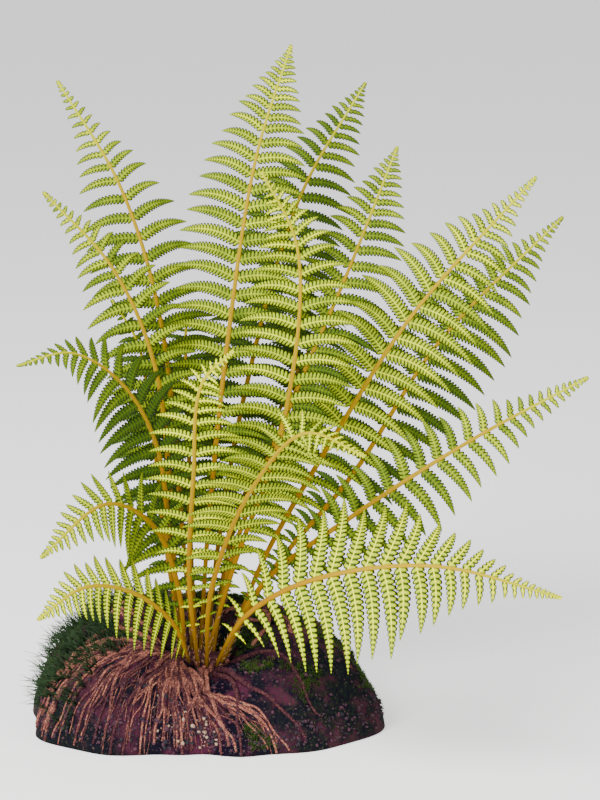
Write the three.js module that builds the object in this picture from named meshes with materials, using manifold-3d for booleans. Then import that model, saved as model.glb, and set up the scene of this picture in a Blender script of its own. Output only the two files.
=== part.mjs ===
// A lemon-scented fern, lifted with the clod of peaty soil that it grows in.
// Its fronds stand in a rootstock, whose roots run over the clod and into it.
// Millimetres, +Z up, front towards -Y. The origin lies on the surface that the
// clod stands on, straight below the middle of the rootstock.
import * as THREE from "three";
import { mergeVertices } from "three/addons/utils/BufferGeometryUtils.js";
import Module from "manifold-3d";

const wasm = await Module();
wasm.setup();

// Rootstock: a low dome of old stalk bases. The fronds stand in two rings on it.
const STOCK_TOP = 72;
const STOCK_RADIUS = 26;
const STOCK_DEPTH = 34;
const STOCK_LUMPS = 6;
const SEAT_Z = 60; // where the foot of each frond ends, inside the rootstock
const INNER_RING = 8.5;
const OUTER_RING = 19.5;
const CLEARANCE = 0.35; // gap round a stalk in its hole and a root in its groove
const HOLE_SIDES = 5;
const STUMPS = 8; // cut bases of old stalks round the dome
const STUMP_RADIUS = 3.2;
const PIT = [[0, 37.5], [17, 37.5], [28.5, 47], [31.5, 60], [40, 140], [0, 140]]; // radius and height
const PIT_SIDES = 14;

// Clod: how far it reaches to each side of the rootstock's axis, and its heights.
const CLOD_RIGHT = 162;
const CLOD_LEFT = 158;
const CLOD_BACK = 138;
const CLOD_FRONT = 84;
const CLOD_SQUARENESS = 2.6;
const CLOD_AT_STOCK = 58;
const CLOD_SHOULDER = 52; // how much higher the soil stands behind the rootstock
const CLOD_DISH = 0.17; // share of the way to the edge over which it stays low
const CLOD_CLIMB = 0.38; // and over which it climbs from there
const CLOD_HIGH_SIDE = 112; // degrees from +X towards +Y
const CLOD_SIDES = 32;
const CLOD_RINGS = 6;

// Roots: each leaves the rootstock in the direction `turn`, sways by `sway`
// degrees on its way, and reaches the share `reach` of the way to the clod's edge.
const ROOTS = [
  { turn: 188, sway: -6, reach: 0.97, radius: 3.0 },
  { turn: 203, sway: 5, reach: 1.0, radius: 3.6 },
  { turn: 217, sway: -5, reach: 0.96, radius: 2.9 },
  { turn: 232, sway: 6, reach: 1.0, radius: 3.4 },
  { turn: 248, sway: -6, reach: 0.96, radius: 3.0 },
  { turn: 265, sway: 6, reach: 1.0, radius: 3.4 },
  { turn: 282, sway: -5, reach: 0.97, radius: 3.5 },
  { turn: 299, sway: 6, reach: 1.0, radius: 3.1 },
  { turn: 316, sway: -6, reach: 0.98, radius: 3.4 },
  { turn: 338, sway: 6, reach: 0.9, radius: 2.8 },
  { turn: 158, sway: 6, reach: 0.75, radius: 2.8 },
];
const ROOT_SIDES = 4;
const ROOT_START = 18; // distance from the axis, inside the dome
const ROOT_TAPER = 0.62;
const ROOT_LIFT = 0.35; // how far a root's middle stands above the soil, in radii
const ROOT_LOWEST = 5;

// Fronds: the rib of each is a smooth curve from its seat, given as an angle in
// degrees and a ring, through the points of `rib`. The upper face turns towards
// `faces`, and at the tip towards `tipFaces` if given. `pairs` of leaflets stand
// along it, the longest of them `leaflet` long. `growth` gives the share of the
// blade over which they lengthen from its foot, and `taper` that over which they
// shorten to its tip; its second number is a power, 1 for a round end and 2 for a
// long point. `crowding`, if given, stands in for CROWDING.
const FRONDS = [
  {
    name: "frond_left_tall",
    seat: [155, INNER_RING],
    rib: [[-16, 24, 152], [-38, 60, 370], [-74, 82, 488], [-132, 102, 584]],
    faces: [0.25, -1, 0.25],
    pairs: 24,
    leaflet: 52,
    growth: [0.42, 1.7],
    taper: [0.4, 1.6],
  },
  {
    name: "frond_left_middle",
    seat: [176, OUTER_RING],
    rib: [[-25, 6, 156], [-40, 4, 335], [-76, -10, 428], [-134, -34, 500]],
    faces: [0.2, -1, 0.35],
    pairs: 22,
    leaflet: 44,
    growth: [0.42, 1.7],
    taper: [0.4, 1.5],
  },
  {
    name: "frond_left_arching",
    seat: [202, OUTER_RING],
    rib: [[-27, -14, 165], [-38, -38, 275], [-68, -66, 338], [-108, -92, 368], [-152, -118, 362]],
    faces: [0.45, -0.8, 0.4],
    tipFaces: [-0.2, -0.55, 0.85],
    pairs: 21,
    leaflet: 50,
    growth: [0.42, 1.7],
    taper: [0.45, 1.4],
  },
  {
    name: "frond_centre_tallest",
    seat: [104, INNER_RING],
    rib: [[5, 20, 172], [22, 34, 336], [50, 50, 518], [82, 60, 620]],
    faces: [0.05, -1, 0.2],
    pairs: 31,
    leaflet: 56,
    growth: [0.42, 1.7],
    taper: [0.38, 1],
  },
  {
    name: "frond_back_tall",
    seat: [60, INNER_RING],
    rib: [[12, 44, 144], [40, 98, 300], [90, 150, 470], [152, 190, 574]],
    faces: [-0.1, -1, 0.3],
    pairs: 27,
    leaflet: 52,
    growth: [0.42, 1.7],
    taper: [0.38, 1],
  },
  {
    name: "frond_centre_front",
    seat: [282, INNER_RING],
    rib: [[30, -34, 160], [76, -72, 304], [88, -106, 460], [58, -128, 530]],
    faces: [0.05, -1, 0.2],
    tipFaces: [0.1, -0.9, 0.5],
    pairs: 26,
    leaflet: 52,
    growth: [0.42, 1.7],
    taper: [0.38, 1.2],
  },
  {
    name: "frond_right_upright",
    seat: [15, INNER_RING],
    rib: [[26, 32, 148], [82, 68, 290], [134, 92, 408], [180, 114, 522]],
    faces: [-0.1, -1, 0.25],
    pairs: 26,
    leaflet: 50,
    growth: [0.42, 1.7],
    taper: [0.38, 1],
  },
  {
    name: "frond_right_tall",
    seat: [352, OUTER_RING],
    rib: [[56, -14, 160], [122, -28, 282], [190, -42, 394], [294, -56, 516]],
    faces: [-0.15, -1, 0.2],
    pairs: 27,
    leaflet: 62,
    growth: [0.55, 2],
    taper: [0.4, 1.5],
  },
  {
    name: "frond_right_back",
    seat: [20, OUTER_RING],
    rib: [[60, 20, 136], [138, 40, 228], [218, 64, 348], [332, 92, 460]],
    faces: [-0.15, -1, 0.3],
    pairs: 27,
    leaflet: 60,
    growth: [0.55, 2],
    taper: [0.4, 1.5],
  },
  {
    name: "frond_right_low",
    seat: [328, OUTER_RING],
    rib: [[56, -48, 148], [138, -76, 220], [238, -98, 292], [336, -119, 352]],
    faces: [0, -1, 0.3],
    pairs: 24,
    leaflet: 46,
    growth: [0.5, 2],
    taper: [0.5, 1.5],
  },
  {
    name: "frond_right_spreading",
    seat: [306, OUTER_RING],
    rib: [[42, -64, 124], [106, -126, 176], [206, -182, 202], [308, -214, 184]],
    faces: [0, -1, 0.5],
    tipFaces: [0.1, -0.75, 0.9],
    pairs: 25,
    crowding: 1.65,
    leaflet: 76,
    growth: [0.4, 1.1],
    taper: [0.6, 1.6],
  },
  {
    name: "frond_front_arching",
    seat: [284, OUTER_RING],
    rib: [[11, -68, 148], [46, -120, 250], [94, -168, 314], [144, -210, 304]],
    faces: [0.45, -0.75, -0.25],
    tipFaces: [0.3, -0.8, 0.7],
    pairs: 22,
    leaflet: 50,
    growth: [0.46, 2],
    taper: [0.5, 1.5],
  },
  {
    name: "frond_front_left",
    seat: [263, OUTER_RING],
    rib: [[-9, -48, 150], [-3, -86, 256], [6, -120, 346], [34, -142, 380]],
    faces: [0, -1, 0.15],
    tipFaces: [0, -0.8, 0.7],
    pairs: 19,
    leaflet: 42,
    growth: [0.42, 2],
    taper: [0.45, 1.4],
  },
  {
    name: "frond_left_low",
    seat: [224, OUTER_RING],
    rib: [[-20, -28, 140], [-38, -45, 198], [-80, -112, 238], [-130, -168, 206]],
    faces: [0.1, -1, 0.4],
    tipFaces: [0.9, -0.4, 0.7],
    pairs: 17,
    leaflet: 46,
    growth: [0.4, 1],
    taper: [0.65, 1.1],
  },
  {
    name: "frond_left_lowest",
    seat: [243, OUTER_RING],
    rib: [[-24, -70, 120], [-58, -112, 160], [-96, -150, 174], [-132, -184, 156]],
    faces: [0.75, -0.5, 0.5],
    tipFaces: [0.45, -0.65, 0.6],
    pairs: 16,
    leaflet: 42,
    growth: [0.4, 1],
    taper: [0.6, 1.1],
  },
  {
    name: "frond_inner_left",
    seat: [150, OUTER_RING],
    rib: [[-34, 36, 165], [-48, 62, 280], [-60, 76, 345], [-84, 84, 384]],
    faces: [0.1, -1, 0.35],
    pairs: 17,
    leaflet: 38,
    growth: [0.42, 1.7],
    taper: [0.4, 1.4],
  },
  {
    name: "frond_behind_left",
    seat: [104, OUTER_RING],
    rib: [[-12, 64, 150], [-16, 132, 270], [-20, 186, 335], [-14, 240, 345]],
    faces: [0, -1, 0.6],
    pairs: 18,
    leaflet: 46,
    growth: [0.42, 1.7],
    taper: [0.4, 1.4],
  },
  {
    name: "frond_behind_right",
    seat: [62, OUTER_RING],
    rib: [[25, 54, 160], [66, 118, 262], [108, 182, 330], [140, 238, 338]],
    faces: [-0.1, -1, 0.6],
    pairs: 18,
    leaflet: 48,
    growth: [0.42, 1.7],
    taper: [0.4, 1.4],
  },
];

// A frond's shape, as shares of its own length or of a leaflet's.
const STALK_SHARE = 0.12; // bare stalk below the lowest leaflets
const RIB_RADIUS_FOOT = 2.5;
const RIB_RADIUS_TIP = 0.7;
const TIP_BLADE_WIDTH = 1.2; // the rib widens into a narrow blade before the tip
const TIP_BLADE_SHARE = 0.2;
const CROWDING = 1.3; // leaflets stand closer together towards the tip
const LOWEST_LEAFLET = 0.14; // length of the lowest leaflets against the longest
const SHORTEST_LEAFLET = 8; // keeps those at the tip clear of the rib
const LEAFLET_WIDTH = 1.9; // width of the shortest, and how it grows with length
const LEAFLET_WIDTH_GROWTH = 0.14;
const LEAFLET_FILL = 0.66; // the most of its gap that a leaflet's width takes
const LEAFLET_ROOT_WIDTH = 0.72; // width where it meets the rib
const LEAFLET_THICK = 1.1; // height of a leaflet's midrib over its edges
const LEAFLET_RISE_LOW = 0.34; // how far leaflets point towards the tip, low down
const LEAFLET_RISE_HIGH = 0.7; // and at the tip
const LEAFLET_CURL = 0.24; // how far their ends bend back again
const LEAFLET_SAG = 0.15; // how far their ends hang
const LEAFLET_CUP = 0.08; // how far their ends bend behind the frond
const LEAFLET_TURN = 0.2; // tilt of each about its own midrib, like a slat
const LONG_LEAFLET = 40; // one longer than this has two rows of edge points

const FROND_GREEN = new THREE.MeshStandardMaterial({ color: 0x8fa02c, roughness: 0.6, metalness: 0 });
const ROOT_BROWN = new THREE.MeshStandardMaterial({ color: 0x7a4030, roughness: 0.85, metalness: 0 });
const SOIL_BROWN = new THREE.MeshStandardMaterial({ color: 0x33231f, roughness: 0.95, metalness: 0 });

const UP = new THREE.Vector3(0, 0, 1);
const radians = THREE.MathUtils.degToRad;
const rise = (share) => Math.sin((Math.PI / 2) * Math.min(1, share)); // 0 to 1, levelling off

// A repeatable draw between -1 and 1 for a whole number.
function draw(number) {
  const wave = Math.sin(number * 12.9898 + 4.1414) * 43758.5453;
  return 2 * (wave - Math.floor(wave)) - 1;
}

// A point in the plan at a distance from the axis, in a direction in radians.
function around(turn, distance, z) {
  return new THREE.Vector3(distance * Math.cos(turn), distance * Math.sin(turn), z);
}

// Vertices and triangles of one closed mesh, collected piece by piece. A piece on
// the left of a frond is the mirror of one on the right, so its triangles flip.
class MeshMaker {
  positions = [];
  triangles = [];

  point(v) {
    this.positions.push(v.x, v.y, v.z);
    return this.positions.length / 3 - 1;
  }

  triangle(a, b, c, flip = false) {
    this.triangles.push(a, flip ? c : b, flip ? b : c);
  }

  geometry() {
    const geometry = new THREE.BufferGeometry();
    geometry.setAttribute("position", new THREE.Float32BufferAttribute(this.positions, 3));
    geometry.setIndex(this.triangles);
    return geometry;
  }
}

// A three.js geometry as a solid that can be joined and cut.
function toSolid(geometry) {
  const bare = geometry.clone();
  bare.deleteAttribute("normal");
  bare.deleteAttribute("uv");
  const merged = mergeVertices(bare, 1e-3);
  return new wasm.Manifold(
    new wasm.Mesh({
      numProp: 3,
      vertProperties: merged.attributes.position.array,
      triVerts: new Uint32Array(merged.index.array),
    }),
  );
}

// The largest body of a solid, without the scraps that a cut may leave.
function largestBody(solid) {
  return solid.decompose().reduce((a, b) => (a.volume() > b.volume() ? a : b));
}

function toMesh(solid, material, name) {
  const { vertProperties, triVerts } = solid.getMesh();
  const geometry = new THREE.BufferGeometry();
  geometry.setAttribute("position", new THREE.Float32BufferAttribute(vertProperties, 3));
  geometry.setIndex(Array.from(triVerts));
  return namedMesh(geometry, material, name);
}

function namedMesh(geometry, material, name) {
  const mesh = new THREE.Mesh(geometry, material);
  mesh.name = name;
  return mesh;
}

// A tapering tube along a list of points, with flat ends. `radii` go with the points.
function tubeGeometry(points, radii, sides) {
  const maker = new MeshMaker();
  const last = points.length - 1;
  const rings = points.map((point, i) => {
    const along = points[Math.min(i + 1, last)].clone().sub(points[Math.max(i - 1, 0)]);
    const across = new THREE.Vector3(-along.y, along.x, 0);
    if (across.length() < 1e-6) across.set(1, 0, 0);
    across.normalize();
    const over = new THREE.Vector3().crossVectors(across, along).normalize();
    return Array.from({ length: sides }, (_, k) => {
      const turn = (2 * Math.PI * k) / sides;
      const corner = point.clone().addScaledVector(across, Math.cos(turn) * radii[i]);
      return maker.point(corner.addScaledVector(over, Math.sin(turn) * radii[i]));
    });
  });
  for (let i = 0; i < last; i++)
    for (let k = 0; k < sides; k++) {
      const next = (k + 1) % sides;
      maker.triangle(rings[i][k], rings[i + 1][next], rings[i][next]);
      maker.triangle(rings[i][k], rings[i + 1][k], rings[i + 1][next]);
    }
  for (let k = 1; k + 1 < sides; k++) {
    maker.triangle(rings[0][0], rings[0][k], rings[0][k + 1]);
    maker.triangle(rings[last][0], rings[last][k + 1], rings[last][k]);
  }
  return maker.geometry();
}

function ribCurve(frond) {
  const [degrees, ring] = frond.seat;
  const points = frond.rib.map((p) => new THREE.Vector3(...p));
  return new THREE.CatmullRomCurve3([around(radians(degrees), ring, SEAT_Z), ...points]);
}

function ribRadius(u) {
  return RIB_RADIUS_TIP + (RIB_RADIUS_FOOT - RIB_RADIUS_TIP) * (1 - u) ** 0.8;
}

// Half the rib's width: round, then a narrow blade just before the tip.
function ribHalfWidth(u) {
  const nearTip = Math.max(0, 1 - (1 - u) / TIP_BLADE_SHARE);
  return ribRadius(u) + TIP_BLADE_WIDTH * Math.sin(Math.PI * nearTip ** 1.5);
}

// Place, and forward, upper-face and right-hand directions, at share u of the rib.
function ribFrame(frond, curve, u) {
  const forward = curve.getTangentAt(u);
  const faces = new THREE.Vector3(...frond.faces);
  if (frond.tipFaces) faces.lerp(new THREE.Vector3(...frond.tipFaces), u * u);
  const upper = faces.addScaledVector(forward, -faces.dot(forward)).normalize();
  const right = new THREE.Vector3().crossVectors(forward, upper);
  return { u, place: curve.getPointAt(u), forward, upper, right };
}

// Length of a leaflet at share v of the blade: short at its foot, longest at the
// middle, and shorter again towards the tip.
function leafletLength(frond, v) {
  const [growthShare, growthPower] = frond.growth;
  const low = LOWEST_LEAFLET + (1 - LOWEST_LEAFLET) * rise(v / growthShare) ** growthPower;
  const [taperShare, taperPower] = frond.taper;
  const high = rise((1 - v) / taperShare) ** taperPower;
  return Math.max(SHORTEST_LEAFLET, frond.leaflet * low * high);
}

// The middle line of a leaflet on one side of the rib: out sideways and towards
// the frond's tip at first, then bending back, hanging a little and cupping.
function leafletLine(frame, side, v, length, seed) {
  const lead = LEAFLET_RISE_LOW + (LEAFLET_RISE_HIGH - LEAFLET_RISE_LOW) * v ** 3 + 0.03 * draw(seed);
  const sag = LEAFLET_SAG * (1 + 0.4 * draw(seed + 1));
  const cup = LEAFLET_CUP * (1 + 0.6 * draw(seed + 2));
  const half = ribHalfWidth(frame.u);
  return (t) =>
    frame.place
      .clone()
      .addScaledVector(frame.right, side * (length * t + half * (1 - t)))
      .addScaledVector(frame.forward, length * (lead * t - LEAFLET_CURL * t * t))
      .addScaledVector(frame.upper, -length * cup * t * t)
      .addScaledVector(UP, -length * sag * t * t);
}

// Adds one leaflet whose root is part of the rib: sections of two edge points and
// a midrib point, then the tip.
function addLeaflet(maker, frame, side, leaflet, root) {
  const flip = side < 0;
  const line = leafletLine(frame, side, leaflet.v, leaflet.length, leaflet.seed + side);
  const rows = leaflet.length > LONG_LEAFLET ? [[0.3, 1], [0.7, 0.62]] : [[0.4, 0.9]];
  let section = root;
  for (const [t, share] of rows) {
    const middle = line(t);
    const along = line(t + 0.05).sub(middle).normalize();
    const across = new THREE.Vector3().crossVectors(frame.upper, along).multiplyScalar(side).normalize();
    const normal = new THREE.Vector3().crossVectors(along, across).multiplyScalar(side);
    const half = 0.5 * leaflet.width * share;
    const reach = across.multiplyScalar(half).addScaledVector(normal, -half * LEAFLET_TURN);
    const next = {
      near: maker.point(middle.clone().sub(reach)),
      far: maker.point(middle.clone().add(reach)),
      top: maker.point(middle.clone().addScaledVector(normal, LEAFLET_THICK)),
    };
    maker.triangle(section.near, next.near, next.top, flip);
    maker.triangle(section.near, next.top, section.top, flip);
    maker.triangle(section.top, next.top, next.far, flip);
    maker.triangle(section.top, next.far, section.far, flip);
    maker.triangle(section.far, next.far, section.near, flip);
    maker.triangle(next.far, next.near, section.near, flip);
    section = next;
  }
  const end = maker.point(line(1));
  maker.triangle(section.near, end, section.top, flip);
  maker.triangle(section.top, end, section.far, flip);
  maker.triangle(section.far, end, section.near, flip);
}

// Where the rib has points: bare ones on the stalk, then one for each pair. The
// leaflets are as wide as their length asks for, or else as their gap allows.
function ribStations(frond, number, ribLength) {
  const bare = [0, 0.35, 0.7].map((share) => ({ u: share * STALK_SHARE }));
  const steps = frond.pairs + 1.1;
  const crowding = frond.crowding ?? CROWDING;
  const paired = Array.from({ length: frond.pairs }, (_, i) => {
    const left = 1 - (i + 0.3) / steps;
    const v = 1 - left ** crowding;
    const gap = (ribLength * (1 - STALK_SHARE) * crowding * left ** (crowding - 1)) / steps;
    const seed = 1009 * number + 7 * i;
    const length = leafletLength(frond, v) * (1 + 0.05 * draw(seed + 3));
    const width = Math.min(LEAFLET_WIDTH + LEAFLET_WIDTH_GROWTH * length, LEAFLET_FILL * gap);
    return { u: STALK_SHARE + (1 - STALK_SHARE) * v, leaflet: { v, length, width, seed } };
  });
  return [...bare, ...paired];
}

// One frond as one closed solid: a four-sided rib, and along it pairs of thin
// three-sided leaflets.
function frondGeometry(frond, number) {
  const curve = ribCurve(frond);
  const maker = new MeshMaker();
  const sections = ribStations(frond, number, curve.getLength()).map(({ u, leaflet }) => {
    const frame = ribFrame(frond, curve, u);
    const section = {
      top: maker.point(frame.place.clone().addScaledVector(frame.upper, ribRadius(u))),
      bottom: maker.point(frame.place.clone().addScaledVector(frame.upper, -ribRadius(u))),
    };
    for (const side of [1, -1]) {
      const edge = frame.place.clone().addScaledVector(frame.right, side * ribHalfWidth(u));
      if (!leaflet) {
        const point = maker.point(edge);
        section[side] = { near: point, far: point };
        continue;
      }
      const half = 0.5 * LEAFLET_ROOT_WIDTH * leaflet.width;
      const near = maker.point(edge.clone().addScaledVector(frame.forward, -half));
      const far = maker.point(edge.clone().addScaledVector(frame.forward, half));
      section[side] = { near, far };
      addLeaflet(maker, frame, side, leaflet, { near, far, top: section.top });
    }
    return section;
  });

  const [foot] = sections;
  maker.triangle(foot.top, foot[-1].near, foot.bottom);
  maker.triangle(foot.top, foot.bottom, foot[1].near);
  const tip = maker.point(curve.getPointAt(1));
  const atTip = { top: tip, bottom: tip, 1: { near: tip }, [-1]: { near: tip } };
  sections.forEach((here, i) => {
    const next = sections[i + 1] ?? atTip;
    for (const side of [1, -1]) {
      const flip = side < 0;
      const { near, far } = here[side];
      if (near !== far) maker.triangle(here.bottom, far, near, flip);
      maker.triangle(here.top, far, next[side].near, flip);
      maker.triangle(here.bottom, next[side].near, far, flip);
      if (next === atTip) continue;
      maker.triangle(here.top, next[side].near, next.top, flip);
      maker.triangle(here.bottom, next.bottom, next[side].near, flip);
    }
  });
  return maker.geometry();
}

// Distance from the axis to the clod's edge, in the direction `turn`.
function clodRadius(turn) {
  const side = Math.cos(turn) > 0 ? CLOD_RIGHT : CLOD_LEFT;
  const depth = Math.sin(turn) > 0 ? CLOD_BACK : CLOD_FRONT;
  const across = Math.abs(Math.cos(turn) / side) ** CLOD_SQUARENESS;
  const along = Math.abs(Math.sin(turn) / depth) ** CLOD_SQUARENESS;
  const wobble = 1 + 0.035 * Math.sin(5 * turn + 0.7) + 0.02 * Math.sin(11 * turn + 2.1);
  return wobble * (across + along) ** (-1 / CLOD_SQUARENESS);
}

// Height of the soil at the share s of the way to the edge, in the direction
// `turn`: a lumpy shoulder on the high side, a slope on the other.
function clodHeight(turn, s) {
  const high = Math.sqrt(0.5 + 0.5 * Math.cos(turn - radians(CLOD_HIGH_SIDE)));
  const lumps = 3 * Math.sin(7 * turn + 9 * s) * Math.sin(5 * s + 3 * turn) * Math.min(1, 3 * s);
  const climb = rise(Math.max(0, s - CLOD_DISH) / CLOD_CLIMB);
  const full = CLOD_AT_STOCK + CLOD_SHOULDER * high * climb + lumps;
  return full * Math.max(0, 1 - s ** (2 + 2.6 * high)) ** 0.7;
}

// The clod's rings of points stand closer together towards its steep edge.
function ringShare(ring) {
  return ((ring + 1) / CLOD_RINGS) ** 0.8;
}

function clodPoint(turn, s) {
  return around(turn, clodRadius(turn) * s, clodHeight(turn, s));
}

// The clod before anything is cut from it: rings of points round its peak, and
// their outermost one filled as its flat underside.
function clodSolid() {
  const maker = new MeshMaker();
  const turns = Array.from({ length: CLOD_SIDES }, (_, k) => (2 * Math.PI * k) / CLOD_SIDES);
  const rings = Array.from({ length: CLOD_RINGS }, (_, j) =>
    turns.map((turn) => maker.point(clodPoint(turn, ringShare(j)))),
  );
  const peak = maker.point(clodPoint(0, 0));
  const middle = maker.point(new THREE.Vector3());
  const rim = rings.at(-1);
  for (let k = 0; k < CLOD_SIDES; k++) {
    const next = (k + 1) % CLOD_SIDES;
    maker.triangle(peak, rings[0][k], rings[0][next]);
    maker.triangle(middle, rim[next], rim[k]);
    for (let j = 0; j + 1 < CLOD_RINGS; j++) {
      maker.triangle(rings[j][k], rings[j + 1][k], rings[j + 1][next]);
      maker.triangle(rings[j][k], rings[j + 1][next], rings[j][next]);
    }
  }
  return toSolid(maker.geometry());
}

// One root, with a bend at each of the clod's rings, so that it lies on the soil.
function rootSolid(root, extra) {
  const start = ROOT_START / clodRadius(radians(root.turn));
  const rings = Array.from({ length: CLOD_RINGS }, (_, j) => ringShare(j));
  const bends = [start, ...rings.filter((s) => s > start + 0.1 && s < root.reach - 0.05), root.reach];
  const points = [];
  const radii = [];
  for (const s of bends) {
    const share = (s - start) / (root.reach - start);
    const turn = radians(root.turn + root.sway * Math.sin(1.5 * Math.PI * share));
    const radius = root.radius * (1 - ROOT_TAPER * share);
    const point = clodPoint(turn, s);
    point.z = Math.max(point.z + ROOT_LIFT * radius, ROOT_LOWEST);
    points.push(point);
    radii.push(radius + extra);
  }
  return toSolid(tubeGeometry(points, radii, ROOT_SIDES));
}

// The dome, the stumps of old stalks round it and the roots, as one solid.
function rootstockSolid() {
  const dome = new THREE.SphereGeometry(1, 12, 6);
  const middle = STOCK_TOP - STOCK_DEPTH / 2;
  dome.rotateX(Math.PI / 2);
  const place = dome.attributes.position;
  for (let i = 0; i < place.count; i++) {
    const turn = Math.atan2(place.getY(i), place.getX(i));
    const lump = 1 + 0.06 * Math.sin(STOCK_LUMPS * turn) * (1 - place.getZ(i) ** 2);
    const across = STOCK_RADIUS * lump;
    const up = middle + place.getZ(i) * STOCK_DEPTH * 0.5;
    place.setXYZ(i, place.getX(i) * across, place.getY(i) * across, up);
  }
  const stumps = Array.from({ length: STUMPS }, (_, k) => {
    const turn = (2 * Math.PI * (k + 0.5)) / STUMPS;
    const foot = around(turn, STOCK_RADIUS - 8, STOCK_TOP - 20);
    const head = around(turn, STOCK_RADIUS + 1.5, STOCK_TOP - 3 + 3 * draw(k));
    return toSolid(tubeGeometry([foot, head], [STUMP_RADIUS, 0.8 * STUMP_RADIUS], 4));
  });
  const roots = ROOTS.map((root) => rootSolid(root, 0));
  return [...stumps, ...roots].reduce((solid, piece) => solid.add(piece), toSolid(dome));
}

// The open pit in the soil that the dome sits in.
function pitSolid() {
  const outline = PIT.map(([radius, z]) => new THREE.Vector2(radius, z));
  const pit = new THREE.LatheGeometry(outline, PIT_SIDES);
  pit.rotateX(Math.PI / 2);
  return toSolid(pit);
}

// The hole that a stalk stands in: it follows the rib, a little wider, and bends
// with it at the distances in `bends`.
function stalkHole(frond, bends) {
  const curve = ribCurve(frond);
  const length = curve.getLength();
  const floor = curve.getPointAt(0).addScaledVector(curve.getTangentAt(0), -CLEARANCE);
  const points = [floor, ...bends.map((reach) => curve.getPointAt(reach / length))];
  const radius = (RIB_RADIUS_FOOT + CLEARANCE) / Math.cos(Math.PI / HOLE_SIDES);
  return toSolid(tubeGeometry(points, Array(points.length).fill(radius), HOLE_SIDES));
}

const fern = new THREE.Group();
let rootstock = rootstockSolid();
let clod = clodSolid().subtract(pitSolid());
for (const root of ROOTS) clod = clod.subtract(rootSolid(root, CLEARANCE));
FRONDS.forEach((frond, number) => {
  fern.add(namedMesh(frondGeometry(frond, number + 1), FROND_GREEN, frond.name));
  rootstock = rootstock.subtract(stalkHole(frond, [14, 28]));
  clod = clod.subtract(stalkHole(frond, [16, 34, 54]));
});
fern.add(toMesh(largestBody(rootstock), ROOT_BROWN, "rootstock"));
fern.add(toMesh(largestBody(clod), SOIL_BROWN, "soil_clod"));

export default fern;
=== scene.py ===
"""A lemon-scented fern on its clod of soil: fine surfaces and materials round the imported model.

Shapes are worked out in millimetres as whole numpy arrays and put into meshes in metres, in
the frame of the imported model: +Z up, front towards -Y, origin on the surface it stands on.
"""

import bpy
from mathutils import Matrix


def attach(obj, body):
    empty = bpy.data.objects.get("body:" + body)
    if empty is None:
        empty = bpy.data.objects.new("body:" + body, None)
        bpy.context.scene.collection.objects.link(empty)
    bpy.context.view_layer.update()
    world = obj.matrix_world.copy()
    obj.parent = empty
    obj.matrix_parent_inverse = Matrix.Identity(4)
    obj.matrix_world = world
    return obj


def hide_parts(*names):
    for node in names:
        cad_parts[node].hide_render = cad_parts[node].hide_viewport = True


bl_info = {
    "name": "Lemon-scented fern",
    "version": (1, 0, 0),
    "blender": (4, 5, 0),
    "location": "3D View > Sidebar > Fern",
    "description": "Grows a fern's fronds, roots, soil and moss round its packed model",
    "category": "Object",
}

import math

import bpy
import numpy as np
from mathutils import Vector

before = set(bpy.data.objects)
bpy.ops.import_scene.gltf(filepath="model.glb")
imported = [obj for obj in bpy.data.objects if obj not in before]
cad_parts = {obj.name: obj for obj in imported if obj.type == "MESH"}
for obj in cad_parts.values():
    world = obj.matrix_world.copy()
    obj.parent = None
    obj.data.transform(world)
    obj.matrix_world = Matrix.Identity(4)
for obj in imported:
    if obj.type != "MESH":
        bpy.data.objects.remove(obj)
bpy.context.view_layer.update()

MM = 0.001
BODY = "root"
UP = np.array([0.0, 0.0, 1.0])
VIEW_MIDDLE = Vector((0.09, 0.0, 0.307))  # in metres

# Rootstock and clod, as in the solids.
STOCK_TOP = 72
STOCK_RADIUS = 26
STOCK_DEPTH = 34
STOCK_LUMPS = 6
SEAT_Z = 60
INNER_RING = 8.5
OUTER_RING = 19.5
STUMPS = 8
STUMP_RADIUS = 3.2
CLOD_RIGHT = 162
CLOD_LEFT = 158
CLOD_BACK = 138
CLOD_FRONT = 84
CLOD_SQUARENESS = 2.6
CLOD_AT_STOCK = 58
CLOD_SHOULDER = 52
CLOD_DISH = 0.17
CLOD_CLIMB = 0.38
CLOD_HIGH_SIDE = math.radians(112)
CLOD_WAVES = ((0.035, 5, 0.7), (0.02, 11, 2.1))  # of its edge: height, number, start
CLOD_LUMPS = 3
CLOD_FALL = 2  # power of its fall, and how much steeper that is on the high side
CLOD_FALL_CHANGE = 2.6
CLOD_FOOT = 0.7  # power that rounds its foot

# Main roots, as in the solids: direction and sway in degrees, reach, radius.
ROOTS = np.array(
    [
        [188, -6, 0.97, 3.0],
        [203, 5, 1.0, 3.6],
        [217, -5, 0.96, 2.9],
        [232, 6, 1.0, 3.4],
        [248, -6, 0.96, 3.0],
        [265, 6, 1.0, 3.4],
        [282, -5, 0.97, 3.5],
        [299, 6, 1.0, 3.1],
        [316, -6, 0.98, 3.4],
        [338, 6, 0.9, 2.8],
        [158, 6, 0.75, 2.8],
    ]
)
ROOT_START = 18
ROOT_TAPER = 0.62
ROOT_LIFT = 0.35
KNOT = np.array([-24.0, -34.0])  # in the plan, where the thinner roots come together

# Seeds of the random draws.
SCALE_SEED = 400
SIDE_ROOT_SEED = 21
ROOTLET_SEED = 22
CRUMB_SEED = 31
MOSS_SEED = 41
BARK_SEED = 51

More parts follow.
